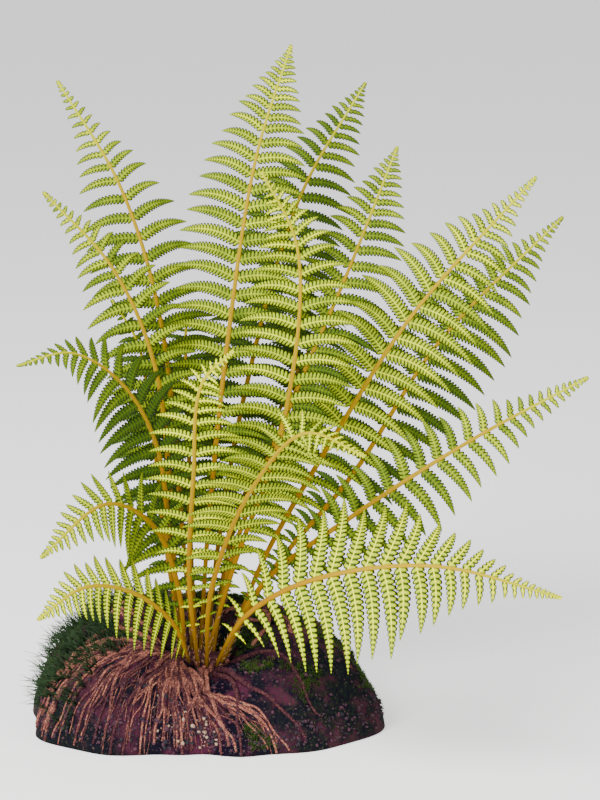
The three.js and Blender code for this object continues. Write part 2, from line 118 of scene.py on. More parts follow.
# A frond's shape, as in the solids: shares of its own length or of a leaflet's.
RIB_DIVISIONS = 200
STALK_SHARE = 0.12
RIB_RADIUS_FOOT = 2.5
RIB_RADIUS_TIP = 0.7
RIB_TAPER = 0.8
CROWDING = 1.3
FOOT_MARGIN = 0.3  # before the first leaflet, in steps from one to the next
EXTRA_STEPS = 1.1  # in the whole blade, beyond one for each pair
LENGTH_SPREAD = 0.05
LOWEST_LEAFLET = 0.14
LEAFLET_WIDTH = 1.9
LEAFLET_RISE_LOW = 0.34
LEAFLET_RISE_HIGH = 0.7
LEAFLET_CURL = 0.24
LEAFLET_SAG = 0.15
LEAFLET_CUP = 0.08
LEAFLET_TURN = 0.2


def draw(number):
    """A repeatable value from -1 to 1 for each whole number: what stands behind the decimal
    point of a large sine, whose angle makes a great step from one number to the next."""
    step, start, size = 12.9898, 4.1414, 43758.5453
    wave = np.sin(np.asarray(number, float) * step + start) * size
    return 2 * (wave - np.floor(wave)) - 1


def rise(share):
    """From 0 to 1 and level from there: a quarter of a sine wave."""
    return np.sin(np.pi / 2 * np.clip(share, 0, 1))


def unit(vectors):
    """Vectors of length one along the last axis."""
    return vectors / np.maximum(np.linalg.norm(vectors, axis=-1, keepdims=True), 1e-9)


def dot(a, b):
    """Dot products along the last axis, which stays, with length one."""
    return (a * b).sum(-1, keepdims=True)


def around(turn, distance, z):
    """Points in a direction of the plan, in radians, at a distance from the axis and a height."""
    x, y, z = np.broadcast_arrays(distance * np.cos(turn), distance * np.sin(turn), z)
    return np.stack([x, y, z], -1)


def spline(points, t):
    """Centripetal Catmull-Rom curve through the points: cubic spans whose slopes weigh the
    neighbouring chords by the roots of their lengths. t runs from 0 to 1 over all spans."""
    ends = 2 * points[[0, -1]] - points[[1, -2]]
    padded = np.vstack([ends[:1], points, ends[1:]])
    spans = len(points) - 1
    span = np.clip((t * spans).astype(int), 0, spans - 1)
    w = (t * spans - span)[:, None]
    a, b, c, d = (padded[span + k] for k in range(4))
    ab, bc, cd = (np.sqrt(np.linalg.norm(q - p, axis=1))[:, None] for p, q in ((a, b), (b, c), (c, d)))
    start = ((b - a) / ab - (c - a) / (ab + bc) + (c - b) / bc) * bc
    end = ((c - b) / bc - (d - b) / (bc + cd) + (d - c) / cd) * bc
    return b + w * (start + w * (3 * (c - b) - 2 * start - end + w * (2 * (b - c) + start + end)))


def rib_radius(u):
    """The rib's radius at share u of its length: from foot to tip by a power of what is left."""
    return RIB_RADIUS_TIP + (RIB_RADIUS_FOOT - RIB_RADIUS_TIP) * (1 - u) ** RIB_TAPER


class Frond:
    """A frond by its seat, as a direction in degrees and a ring, and the points that its rib runs
    through. Its upper face looks towards `faces`, and at the tip towards `tip_faces`. `pairs` of
    leaflets stand along it, the longest of them `leaflet` long, and crowd towards the tip by the
    power `crowding`. They lengthen and shorten over the shares of the blade in `growth` and
    `taper`, by the powers there. `light` is how lit its green is painted, from 0 to 1: fronds at the
    back and inside the plant are painted darker, in shade. `lobe` is how long its lobes are against
    the others'."""

    def __init__(
        self,
        seat,
        faces,
        pairs,
        leaflet,
        taper,
        light,
        rib,
        tip_faces=None,
        growth=(0.42, 1.7),
        lobe=1,
        crowding=CROWDING,
    ):
        degrees, ring = seat
        self.points = np.vstack([around(math.radians(degrees), ring, SEAT_Z), rib]).astype(float)
        self.faces = np.array(faces, float)
        self.tip_faces = np.array(tip_faces or faces, float)
        self.pairs = pairs
        self.leaflet = leaflet
        self.growth = growth
        self.taper = taper
        self.lobe = lobe
        self.crowding = crowding
        self.light = light
        self.shares = np.linspace(0, 1, RIB_DIVISIONS + 1)
        steps = np.linalg.norm(np.diff(spline(self.points, self.shares), axis=0), axis=1)
        self.lengths = np.concatenate([[0], np.cumsum(steps)])

    def at(self, u):
        """Places on the rib at shares u of its length, with forward, upper and right directions:
        forward along the rib, upper as near to the facing direction as is square to it."""
        step = 1e-4
        t = np.interp(u * self.lengths[-1], self.lengths, self.shares)
        ahead = spline(self.points, np.minimum(t + step, 1))
        forward = unit(ahead - spline(self.points, np.maximum(t - step, 0)))
        faces = self.faces + (self.tip_faces - self.faces) * (u * u)[:, None]
        upper = unit(faces - dot(faces, forward) * forward)
        return spline(self.points, t), forward, upper, np.cross(forward, upper)

    def stations(self, number):
        """For each pair of leaflets: share of the blade, share of the rib, length, width, seed.
        They crowd towards the tip, the last ones more than the solids', so that the blade runs
        out finely. Lengths rise and fall again by powers of a sine, but not below a share of what
        is left of the blade. Seeds count quarters of a step, because the last leaflets stand
        closer than a step."""
        fine = TIP_STEPS * (1 - (1 - np.arange(TIP_PAIRS) / TIP_PAIRS) ** TIP_CROWDING)
        kept = self.pairs - REPLACED_PAIRS
        i = np.concatenate([np.arange(kept), kept + fine])
        left = 1 - (i + FOOT_MARGIN) / (self.pairs + EXTRA_STEPS)
        v = 1 - left**self.crowding
        blade = self.lengths[-1] * (1 - STALK_SHARE)
        gap = blade * np.gradient(v)
        seed = FROND_SEEDS * number + LEAFLET_SEEDS * np.round(4 * i)
        share, power = self.growth
        low = LOWEST_LEAFLET + (1 - LOWEST_LEAFLET) * rise(v / share) ** power
        share, power = self.taper
        least = (TIP_LEAFLET + TIP_SPREAD * blade * (1 - v)) / self.leaflet
        high = np.maximum(rise((1 - v) / share) ** power, np.minimum(least, 1))
        length = self.leaflet * low * high * (1 + LENGTH_SPREAD * draw(seed + 3))
        width = np.minimum(LEAFLET_WIDTH + WIDTH_GROWTH * length, FILL * gap * (1 + TIP_WIDENING * v**3))
        return v, STALK_SHARE + (1 - STALK_SHARE) * v, length, width, seed


# The fronds, as in the solids.
# Their `light` is painted light: low for the fronds at the back and inside the plant, in shade.
FRONDS = {
    "frond_left_tall": Frond(
        seat=(155, INNER_RING), faces=(0.25, -1, 0.25), pairs=24, leaflet=52, taper=(0.4, 1.6),
        light=0.57,
        rib=[[-16, 24, 152], [-38, 60, 370], [-74, 82, 488], [-132, 102, 584]],
    ),
    "frond_left_middle": Frond(
        seat=(176, OUTER_RING), faces=(0.2, -1, 0.35), pairs=22, leaflet=44, taper=(0.4, 1.5),
        light=0.62,
        rib=[[-25, 6, 156], [-40, 4, 335], [-76, -10, 428], [-134, -34, 500]],
    ),
    "frond_left_arching": Frond(
        seat=(202, OUTER_RING), faces=(0.45, -0.8, 0.4), tip_faces=(-0.2, -0.55, 0.85), pairs=21,
        leaflet=50, taper=(0.45, 1.4), light=0.4,
        rib=[[-27, -14, 165], [-38, -38, 275], [-68, -66, 338], [-108, -92, 368], [-152, -118, 362]],
    ),
    "frond_centre_tallest": Frond(
        seat=(104, INNER_RING), faces=(0.05, -1, 0.2), pairs=31, leaflet=56, taper=(0.38, 1), light=0.7,
        rib=[[5, 20, 172], [22, 34, 336], [50, 50, 518], [82, 60, 620]],
    ),
    "frond_back_tall": Frond(
        seat=(60, INNER_RING), faces=(-0.1, -1, 0.3), pairs=27, leaflet=52, taper=(0.38, 1), light=0.35,
        rib=[[12, 44, 144], [40, 98, 300], [90, 150, 470], [152, 190, 574]],
    ),
    "frond_centre_front": Frond(
        seat=(282, INNER_RING), faces=(0.05, -1, 0.2), tip_faces=(0.1, -0.9, 0.5), pairs=26, leaflet=52,
        taper=(0.38, 1.2), light=0.8,
        rib=[[30, -34, 160], [76, -72, 304], [88, -106, 460], [58, -128, 530]],
    ),
    "frond_right_upright": Frond(
        seat=(15, INNER_RING), faces=(-0.1, -1, 0.25), pairs=26, leaflet=50, taper=(0.38, 1), light=0.52,
        rib=[[26, 32, 148], [82, 68, 290], [134, 92, 408], [180, 114, 522]],
    ),
    "frond_right_tall": Frond(
        seat=(352, OUTER_RING), faces=(-0.15, -1, 0.2), pairs=27, leaflet=62, growth=(0.55, 2),
        taper=(0.4, 1.5), light=0.76,
        rib=[[56, -14, 160], [122, -28, 282], [190, -42, 394], [294, -56, 516]],
    ),
    "frond_right_back": Frond(
        seat=(20, OUTER_RING), faces=(-0.15, -1, 0.3), pairs=27, leaflet=60, growth=(0.55, 2),
        taper=(0.4, 1.5), light=0.5,
        rib=[[60, 20, 136], [138, 40, 228], [218, 64, 348], [332, 92, 460]],
    ),
    "frond_right_low": Frond(
        seat=(328, OUTER_RING), faces=(0, -1, 0.3), pairs=24, leaflet=46, growth=(0.5, 2),
        taper=(0.5, 1.5), light=0.62,
        rib=[[56, -48, 148], [138, -76, 220], [238, -98, 292], [336, -119, 352]],
    ),
    "frond_right_spreading": Frond(
        seat=(306, OUTER_RING), faces=(0, -1, 0.5), tip_faces=(0.1, -0.75, 0.9), pairs=25, crowding=1.65,
        leaflet=76, growth=(0.4, 1.1), taper=(0.6, 1.6), lobe=1.45, light=1.0,
        rib=[[42, -64, 124], [106, -126, 176], [206, -182, 202], [308, -214, 184]],
    ),
    "frond_front_arching": Frond(
        seat=(284, OUTER_RING), faces=(0.45, -0.75, -0.25), tip_faces=(0.3, -0.8, 0.7), pairs=22,
        leaflet=50, growth=(0.46, 2), taper=(0.5, 1.5), light=0.8,
        rib=[[11, -68, 148], [46, -120, 250], [94, -168, 314], [144, -210, 304]],
    ),
    "frond_front_left": Frond(
        seat=(263, OUTER_RING), faces=(0, -1, 0.15), tip_faces=(0, -0.8, 0.7), pairs=19, leaflet=42,
        growth=(0.42, 2), taper=(0.45, 1.4), light=0.9,
        rib=[[-9, -48, 150], [-3, -86, 256], [6, -120, 346], [34, -142, 380]],
    ),
    "frond_left_low": Frond(
        seat=(224, OUTER_RING), faces=(0.1, -1, 0.4), tip_faces=(0.9, -0.4, 0.7), pairs=17, leaflet=46,
        growth=(0.4, 1), taper=(0.65, 1.1), light=0.66,
        rib=[[-20, -28, 140], [-38, -45, 198], [-80, -112, 238], [-130, -168, 206]],
    ),
    "frond_left_lowest": Frond(
        seat=(243, OUTER_RING), faces=(0.75, -0.5, 0.5), tip_faces=(0.45, -0.65, 0.6), pairs=16,
        leaflet=42, growth=(0.4, 1), taper=(0.6, 1.1), light=0.85,
        rib=[[-24, -70, 120], [-58, -112, 160], [-96, -150, 174], [-132, -184, 156]],
    ),
    "frond_inner_left": Frond(
        seat=(150, OUTER_RING), faces=(0.1, -1, 0.35), pairs=17, leaflet=38, taper=(0.4, 1.4),
        light=0.15,
        rib=[[-34, 36, 165], [-48, 62, 280], [-60, 76, 345], [-84, 84, 384]],
    ),
    "frond_behind_left": Frond(
        seat=(104, OUTER_RING), faces=(0, -1, 0.6), pairs=18, leaflet=46, taper=(0.4, 1.4), light=0.1,
        rib=[[-12, 64, 150], [-16, 132, 270], [-20, 186, 335], [-14, 240, 345]],
    ),
    "frond_behind_right": Frond(
        seat=(62, OUTER_RING), faces=(-0.1, -1, 0.6), pairs=18, leaflet=48, taper=(0.4, 1.4), light=0.1,
        rib=[[25, 54, 160], [66, 118, 262], [108, 182, 330], [140, 238, 338]],
    ),
}

# Fine shape of a leaflet. Its section is a ring of points, each a share of the half width and a
# height in millimetres: the upper face from the tip side to the foot side, then the midrib below.
SECTION_ACROSS = np.array([1, 0.5, 0, -0.5, -1, 0])
SECTION_HEIGHT = np.array([0.0, 0.34, 0.42, 0.34, 0.0, -0.42])
FROND_SEEDS = 1009  # from one frond to the next
LEAFLET_SEEDS = 7  # from one quarter of a step to the next
REPLACED_PAIRS = 7  # of the solids' leaflets, the last before the tip
TIP_PAIRS = 14  # in their place
TIP_STEPS = 7.7  # how far these reach, in steps between the solids' leaflets
TIP_CROWDING = 1.5  # power by which they close up
TIP_LEAFLET = 1.4  # length of the last leaflets
TIP_SPREAD = 0.22  # least length of the others, as a share of the distance to the tip
TIP_WIDENING = 0.35  # how much more of the gap leaflets may fill at the tip
WIDTH_GROWTH = 0.175  # with its length, a little more than the solids'
FILL = 0.72  # of the gap to the next leaflet
RISE_SPREAD = 0.03  # random part of a leaflet's rise
SAG_SPREAD = 0.4  # and of its sag and its cup
CUP_SPREAD = 0.6
LEAFLET_START = 0.4  # inside the rib, as a share of its radius
BLADE_AT_ROOT = 0.86  # half width, as a share of the full one
BLADE_FULL_AT = 0.16  # share of the length by which it is reached
BLADE_END = 0.95  # power by which the tip closes
BLADE_LEAST = 0.25  # half width that is always left
BLADE_SLIM = 0.45  # thickness of the tip against that of the middle
FALL_LOW = 1.75  # power by which the lowest leaflets narrow
FALL_CHANGE = 1.1  # how much blunter the highest ones end
FEWEST_LOBES = 2
MOST_LOBES = 26
LOBE_PHASES = np.array([0, 0.3, 0.75])  # where each lobe has its rings
LOBE_ROUNDNESS = 2.6  # power of its outline
LOBE_CROWDING = 1.25  # lobes get shorter towards the leaflet's tip
LOBE_SPREAD = 1.14  # lobe tips against the width of the solids' leaflets
LOBE_SLANT = 0.3  # how far lobes lean towards the leaflet's tip
FIRST_LOBE = 0.75  # width of the root against the lobes'
FULL_CUT = 14  # length from which leaflets are cut in full
EDGE_DROOP = 0.16  # how far lobe tips hang, as a share of the half width
TONE_SPREAD = 0.12  # from leaflet to leaflet
FOOT_SHADE = 1.4  # how much darker the lowest leaflets of a dark frond are painted, in shade
FOOT_SHADE_FALL = 1.3  # power by which that ends towards the tip

# Fine shape of the ground: heights and sizes of its noises.
SOIL_LAYERS = ((2.6, 24), (1.7, 9), (0.9, 4))
ROOT_LAYERS = ((0.1, 7), (0.07, 3))  # heights as shares of the root's radius
DOME_LAYERS = ((1.6, 6), (0.7, 2.6))

# Fine shape of a frond's rib.
RIB_RINGS = 96
RIB_SIDES = 10
RIB_SLIM = 0.56  # its radius at the foot against the solid's
RIB_GAIN = 0.56  # what it gains from there to the middle
RIB_LOSS = 0.05  # what it loses from there to the tip
RIB_WIDTH = 1.15  # against its height
GROOVE_DEPTH = 0.2  # as a share of the radius
GROOVE_WIDTH = 0.25  # in the fall of the cosine round the rib
SWELLING = 0.2  # of the foot
SWELLING_LENGTH = 0.02  # as a share of the rib

# Scales on the lowest part of a stalk.
STALK_SCALES = 26
SCALES_FROM = 0.015  # share of the rib where they begin
SCALES_OVER = 0.13  # share over which they stand
SCALES_LOW = 1.5  # power by which there are more of them further down
SCALE_SEAT = 0.92  # depth of a scale's root, as a share of the rib's radius
SCALE_LEAN = (0.35, 0.9)
SCALE_LENGTH = (3, 6.5)
SCALE_WIDTH = (1.0, 1.9)
SCALE_THICKNESS = 0.2


class Shape:
    """Points in millimetres, faces and values at the points, gathered part by part for one mesh."""

    def __init__(self):
        self.points = []
        self.faces = {3: [], 4: []}
        self.slots = {3: [], 4: []}
        self.values = {}
        self.count = 0

    def add(self, points, faces, slot=0, **values):
        """Adds points of shape (n, 3), faces as rows of point numbers, and one value a point."""
        for block in faces:
            block = np.asarray(block).reshape(-1, np.shape(block)[-1])
            self.faces[block.shape[1]].append(block + self.count)
            self.slots[block.shape[1]].append(np.full(len(block), slot))
        for name, value in values.items():
            column = self.values.setdefault(name, np.zeros(0))
            filled = np.concatenate([column, np.zeros(self.count - len(column))])
            self.values[name] = np.concatenate([filled, np.broadcast_to(value, len(points))])
        self.points.append(points)
        self.count += len(points)

    def to_object(self, name, materials):
        """Writes the mesh in metres and returns its object, riding on the body of the model."""
        mesh = bpy.data.meshes.new(name)
        mesh.vertices.add(self.count)
        mesh.vertices.foreach_set("co", (np.concatenate(self.points) * MM).astype(np.float32).ravel())
        sides = [np.concatenate(self.faces[k]) if self.faces[k] else np.zeros((0, k), int) for k in (3, 4)]
        corners = np.concatenate([block.ravel() for block in sides])
        sizes = np.concatenate([np.full(len(block), block.shape[1]) for block in sides])
        mesh.loops.add(len(corners))
        mesh.loops.foreach_set("vertex_index", corners.astype(np.int32))
        mesh.polygons.add(len(sizes))
        starts = np.concatenate([[0], np.cumsum(sizes)[:-1]])
        mesh.polygons.foreach_set("loop_start", starts.astype(np.int32))
        slots = np.concatenate([part for k in (3, 4) for part in self.slots[k]])
        mesh.polygons.foreach_set("material_index", slots.astype(np.int32))
        mesh.polygons.foreach_set("use_smooth", np.ones(len(sizes), bool))
        for label, value in self.values.items():
            whole = np.concatenate([value, np.zeros(self.count - len(value))])
            attribute = mesh.attributes.new(label, "FLOAT", "POINT")
            attribute.data.foreach_set("value", whole.astype(np.float32))
        mesh.update(calc_edges=True)
        for material in materials:
            mesh.materials.append(material)
        piece = bpy.data.objects.new(name, mesh)
        bpy.context.scene.collection.objects.link(piece)
        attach(piece, BODY)
        return piece


def lofts(rings):
    """Points and faces of closed tubes, from rings of shape (tubes, rows, sides, 3) that turn to
    the left about the way the tube runs. Quads join the rows, and a fan closes each end."""
    tubes, rows, sides, _ = rings.shape
    number = np.arange(tubes * rows * sides).reshape(tubes, rows, sides)
    ahead = np.roll(number, -1, axis=2)
    quads = np.stack([number[:, :-1], ahead[:, :-1], ahead[:, 1:], number[:, 1:]], -1)
    fan = np.arange(1, sides - 1)
    foot = np.repeat(number[:, :1, 0], len(fan), 1)
    first = np.stack([foot, number[:, 0, fan + 1], number[:, 0, fan]], -1)
    head = np.repeat(number[:, -1:, 0], len(fan), 1)
    last = np.stack([head, number[:, -1, fan], number[:, -1, fan + 1]], -1)
    return rings.reshape(-1, 3), [quads.reshape(-1, 4), first.reshape(-1, 3), last.reshape(-1, 3)]


def tube_rings(paths, radii, sides, flat=1.0):
    """Rings round paths of shape (tubes, rows, 3): circles of the radii, square to the path, that
    are lower than wide by the share `flat`."""
    along = unit(np.gradient(paths, axis=1))
    level = np.cross(UP, along)
    least_level = 1e-3
    steep = np.linalg.norm(level, axis=-1, keepdims=True) < least_level
    across = unit(np.where(steep, np.array([1.0, 0, 0]), level))
    over = np.cross(along, across)
    turn = 2 * np.pi * np.arange(sides) / sides
    swing = across[:, :, None] * np.cos(turn)[:, None] + flat * over[:, :, None] * np.sin(turn)[:, None]
    return paths[:, :, None] + radii[:, :, None, None] * swing


def blades(roots, directions, flats, lengths, widths, thickness=0.35):
    """Points and faces of slim closed blades: a flat three-cornered root and a point at the end.
    Each is `widths` across along `flats` and a little thick at right angles to it."""
    forward = unit(directions)
    across = unit(flats - dot(flats, forward) * forward) * (widths / 2)[:, None]
    over = unit(np.cross(across, forward)) * (widths * thickness)[:, None]
    tips = roots + forward * lengths[:, None]
    points = np.stack([roots - across, roots + across, roots + over, tips], 1)
    first = 4 * np.arange(len(roots))[:, None, None]
    corners = np.array([[0, 2, 1], [0, 1, 3], [1, 2, 3], [2, 0, 3]])
    return points.reshape(-1, 3), [(first + corners).reshape(-1, 3)]


def lobe_outline(phase, cut):
    """Share of the half width at each lobe phase: 1 - cut between lobes, rounding up to 1 on them."""
    within = phase - np.floor(phase)
    round_top = np.sqrt(np.clip(1 - np.abs(2 * within - 1) ** LOBE_ROUNDNESS, 0, 1))
    return 1 - cut + cut * round_top


def leaflet_shapes(frond, side, stations, lobes, arch, cut):
    """Rings and point values for a batch of leaflets with the same number of lobes.

    The midrib runs out sideways and towards the frond's tip, bends back by the square of its
    share t, and hangs and cups by the same square. The blade's half width rises a little from the
    root and falls to a point by a power of t, later on leaflets near the frond's tip; the lobes'
    outline multiplies it.

    The values at the points are: `reach`, millimetres from the midrib; `edge`, the same as a share
    of the half width; `across`, that with a sign, towards the frond's tip or foot; `lobe`, which
    counts lobes; `light`, the leaflet's random tone on its frond's painted light, with painted shade
    on the lowest leaflets of dark fronds; and `out`, the share t."""
    v, u, length, width, seed = (np.asarray(column)[:, None] for column in stations)
    place, forward, upper, right = (part[:, None] for part in frond.at(u[:, 0]))
    seed = seed + side
    lead = LEAFLET_RISE_LOW + (LEAFLET_RISE_HIGH - LEAFLET_RISE_LOW) * v**3
    lead = lead + RISE_SPREAD * draw(seed) + arch
    sag = LEAFLET_SAG * (1 + SAG_SPREAD * draw(seed + 1))
    cup = LEAFLET_CUP * (1 + CUP_SPREAD * draw(seed + 2))
    phase = np.append((np.arange(lobes)[:, None] + LOBE_PHASES).ravel(), lobes)
    t = 1 - (1 - phase / lobes) ** LOBE_CROWDING

    def line(t):
        """Points of the midribs at shares t of their lengths."""
        out = length * t + LEAFLET_START * rib_radius(u) * (1 - t)
        on = length * (lead * t - (LEAFLET_CURL + arch) * t * t)
        bend = length * t * t
        return (
            place
            + right * (side * out)[..., None]
            + forward * on[..., None]
            - upper * (cup * bend)[..., None]
            - UP * (sag * bend)[..., None]
        )

    middle = line(t)
    step = 0.02
    along = unit(line(t + step) - middle)
    across = unit(np.cross(np.broadcast_to(upper, along.shape), along) * side)
    normal = unit(np.cross(along, across) * side)
    blade = BLADE_AT_ROOT + (1 - BLADE_AT_ROOT) * rise(t / BLADE_FULL_AT)
    blade = blade * (1 - t ** (FALL_LOW + FALL_CHANGE * v)) ** BLADE_END
    outline = lobe_outline(phase, cut * rise(length / FULL_CUT))
    outline[:, 0] = FIRST_LOBE
    half = 0.5 * LOBE_SPREAD * width * blade * outline + BLADE_LEAST
    edge = np.abs(SECTION_ACROSS)
    shift = half[..., None] * SECTION_ACROSS
    slim = BLADE_SLIM + (1 - BLADE_SLIM) * blade
    hang = EDGE_DROOP * edge**2 + LEAFLET_TURN * SECTION_ACROSS
    height = slim[..., None] * SECTION_HEIGHT - half[..., None] * hang
    lean = LOBE_SLANT * half[..., None] * edge
    rings = middle[:, :, None] + across[:, :, None] * shift[..., None]
    rings = rings + normal[:, :, None] * height[..., None] + along[:, :, None] * lean[..., None]
    shape = rings.shape[:3]
    # A random tone for each leaflet on its frond's painted light, with painted shade on the lowest leaflets
    # of dark fronds.
    tone = frond.light + TONE_SPREAD * draw(seed + 4)
    tone = tone - FOOT_SHADE * (1 - frond.light) * (1 - v) ** FOOT_SHADE_FALL
    values = {
        "reach": np.broadcast_to(np.abs(shift), shape),
        "edge": np.broadcast_to(edge, shape),
        "across": np.broadcast_to(SECTION_ACROSS, shape),
        "lobe": np.broadcast_to(phase[None, :, None], shape),
        "light": np.broadcast_to(tone[..., None], shape),
        "out": np.broadcast_to(t[None, :, None], shape),
    }
    if side < 0:
        rings = rings[:, :, ::-1]
        values = {name: value[:, :, ::-1] for name, value in values.items()}
    return rings, values


def add_leaflets(shape, frond, number, lobe_length, arch, cut):
    """Adds all leaflets of a frond, in batches of those with the same number of lobes."""
    stations = frond.stations(number)
    lengths = stations[2]
    lobes = np.round(lengths / (frond.lobe * lobe_length))
    lobes = np.clip(lobes, FEWEST_LOBES, MOST_LOBES).astype(int)
    for count in np.unique(lobes):
        batch = [column[lobes == count] for column in stations]
        for side in (1, -1):
            rings, values = leaflet_shapes(frond, side, batch, count, arch, cut)
            points, faces = lofts(rings)
            shape.add(points, faces, 0, **{name: value.ravel() for name, value in values.items()})


def add_rib(shape, frond):
    """Adds a frond's rib: rings of an ellipse with a groove along the upper face. It is slimmer
    than the solid's at its foot and a little wider higher up, and its foot is slightly swollen."""
    u = np.linspace(0, 1, RIB_RINGS)
    place, _, upper, right = frond.at(u)
    turn = 2 * np.pi * np.arange(RIB_SIDES) / RIB_SIDES
    middle = 0.5
    slim = RIB_SLIM + RIB_GAIN * rise(u / middle) - RIB_LOSS * u**3
    groove = 1 - GROOVE_DEPTH * np.exp(-((1 - np.cos(turn)) / GROOVE_WIDTH))
    swelling = 1 + SWELLING * np.exp(-u / SWELLING_LENGTH)
    wide = (RIB_WIDTH * rib_radius(u) * slim * swelling)[:, None] * np.sin(turn)
    high = (rib_radius(u) * slim * swelling)[:, None] * np.cos(turn) * groove
    rings = place[:, None] + right[:, None] * wide[..., None] + upper[:, None] * high[..., None]
    points, faces = lofts(rings[None])
    # The frond's painted light goes with the rib, for the rib's painted shade.
    shape.add(points, faces, 1, out=np.repeat(u, RIB_SIDES), light=frond.light)


def add_scales(shape, frond, number):
    """Adds papery scales on the lowest part of the stalk, each a slim blade leaning forward."""
    rng = np.random.default_rng(SCALE_SEED + number)
    u = SCALES_FROM + SCALES_OVER * rng.random(STALK_SCALES) ** SCALES_LOW
    turn = rng.uniform(0, 2 * np.pi, STALK_SCALES)[:, None]
    place, forward, upper, right = frond.at(u)
    outward = upper * np.cos(turn) + right * np.sin(turn)
    roots = place + outward * rib_radius(u)[:, None] * SCALE_SEAT
    directions = forward + outward * rng.uniform(*SCALE_LEAN, STALK_SCALES)[:, None]
    flats = np.cross(forward, outward)
    lengths = rng.uniform(*SCALE_LENGTH, STALK_SCALES)
    widths = rng.uniform(*SCALE_WIDTH, STALK_SCALES)
    points, faces = blades(roots, directions, flats, lengths, widths, SCALE_THICKNESS)
    shape.add(points, faces, 2)


def noise(points, size, seed):
    """Smooth noise from -1 to 1 in space: repeatable values at the corners of cubes of the given
    size, blended inside each cube by the curve 3w^2 - 2w^3 along each axis."""
    apart = 71.3
    numbering = np.array([1.0, 57.0, 113.0])
    cells = points / size + apart * seed
    corner = np.floor(cells)
    w = cells - corner
    w = w * w * (3 - 2 * w)
    total = 0
    for step in np.ndindex(2, 2, 2):
        key = (corner + step) @ numbering
        total = total + draw(key) * np.prod(np.where(step, w, 1 - w), axis=-1)
    return total


def roughness(points, layers, seed):
    """Sum of noises, each given by its height and size. Their seeds count up from the first."""
    total = 0
    for number, (height, size) in enumerate(layers):
        total = total + height * noise(points, size, seed + number)
    return total


def clod_radius(turn):
    """Distance from the axis to the clod's edge: a squarish oval with two waves on it."""
    side = np.where(np.cos(turn) > 0, CLOD_RIGHT, CLOD_LEFT)
    depth = np.where(np.sin(turn) > 0, CLOD_BACK, CLOD_FRONT)
    oval = np.abs(np.cos(turn) / side) ** CLOD_SQUARENESS
    oval = oval + np.abs(np.sin(turn) / depth) ** CLOD_SQUARENESS
    wobble = 1
    for height, waves, start in CLOD_WAVES:
        wobble = wobble + height * np.sin(waves * turn + start)
    return wobble * oval ** (-1 / CLOD_SQUARENESS)


def clod_height(turn, s):
    """Height of the soil at share s of the way to the edge: a dish, a shoulder that is highest on
    one side, lumps from two crossing waves, and a rounded fall to nothing at the edge."""
    high = np.sqrt(0.5 + 0.5 * np.cos(turn - CLOD_HIGH_SIDE))
    lumps = CLOD_LUMPS * np.sin(7 * turn + 9 * s) * np.sin(5 * s + 3 * turn) * np.minimum(1, 3 * s)
    full = CLOD_AT_STOCK + CLOD_SHOULDER * high * rise((s - CLOD_DISH) / CLOD_CLIMB) + lumps
    return full * np.maximum(0, 1 - s ** (CLOD_FALL + CLOD_FALL_CHANGE * high)) ** CLOD_FOOT


def soil_surface(turn, s):
    """Points of the rough soil and its outward directions. The smooth clod is pushed out along
    its normal by noise of three sizes. The noise fades out at the axis and towards the edge, so
    that the foot stays level. Directions are taken a little inside the edge."""
    turn, s = np.broadcast_arrays(np.asarray(turn, float), np.asarray(s, float))

    def smooth(turn, s):
        """Points of the clod without its roughness."""
        return around(turn, clod_radius(turn) * s, clod_height(turn, np.minimum(s, 1)))

    step, outermost = 0.01, 0.985
    edge_fade, axis_fade = 0.05, 0.1
    inner = np.minimum(s, outermost)
    base = smooth(turn, s)
    down = smooth(turn, inner + step) - smooth(turn, inner - step)
    along = smooth(turn + step, inner) - smooth(turn - step, inner)
    normal = unit(np.cross(down, along) + np.array([0, 0, 1e-6]))
    hold = np.clip((1 - s) / edge_fade, 0, 1) * np.clip((s - edge_fade) / axis_fade, 0, 1)
    points = base + normal * (roughness(base, SOIL_LAYERS, 1) * hold)[..., None]
    points[..., 2] = np.maximum(points[..., 2], 0)
    return points, normal


def swaying_paths(turns, sways, starts, reaches, rows, wiggle, seed):
    """Directions and shares of the way to the edge along roots: each sways from its first
    direction by three quarters of a sine wave, with two small faster waves on it that grow from
    nothing at the stock."""
    share = np.linspace(0, 1, rows)[None]
    phase = np.pi * draw(seed + np.arange(len(turns)))[:, None]
    sway = sways[:, None] * np.sin(0.75 * 2 * np.pi * share)
    slow, fast = np.sin(11 * share + phase), np.sin(23 * share + 2 * phase)
    small = wiggle * share * (slow + 0.6 * fast)
    turn = turns[:, None] + sway + small
    return turn, starts[:, None] + (reaches - starts)[:, None] * share


def straight_paths(turns, starts, reaches, rows, wiggle, seed):
    """The same for roots that spread from the knot in the plan, each along a straight line to the
    clod's edge in its direction, from one share of that line to another, with two small waves."""
    share = np.linspace(0, 1, rows)[None]
    way = starts[:, None] + (reaches - starts)[:, None] * share
    phase = np.pi * draw(seed + np.arange(len(turns)))[:, None]
    slow, fast = np.sin(9 * way + phase), np.sin(21 * way + 2 * phase)
    waves = wiggle * (slow + 0.5 * fast)
    inside = 0.99
    foot = around(turns, inside * clod_radius(turns), 0)[:, None, :2]
    line = KNOT + (foot - KNOT) * way[..., None]
    beside = unit((foot - KNOT)[..., ::-1] * np.array([-1, 1]))
    line = line + beside * waves[..., None]
    turn = np.arctan2(line[..., 1], line[..., 0])
    return turn, np.linalg.norm(line, axis=-1) / clod_radius(turn)


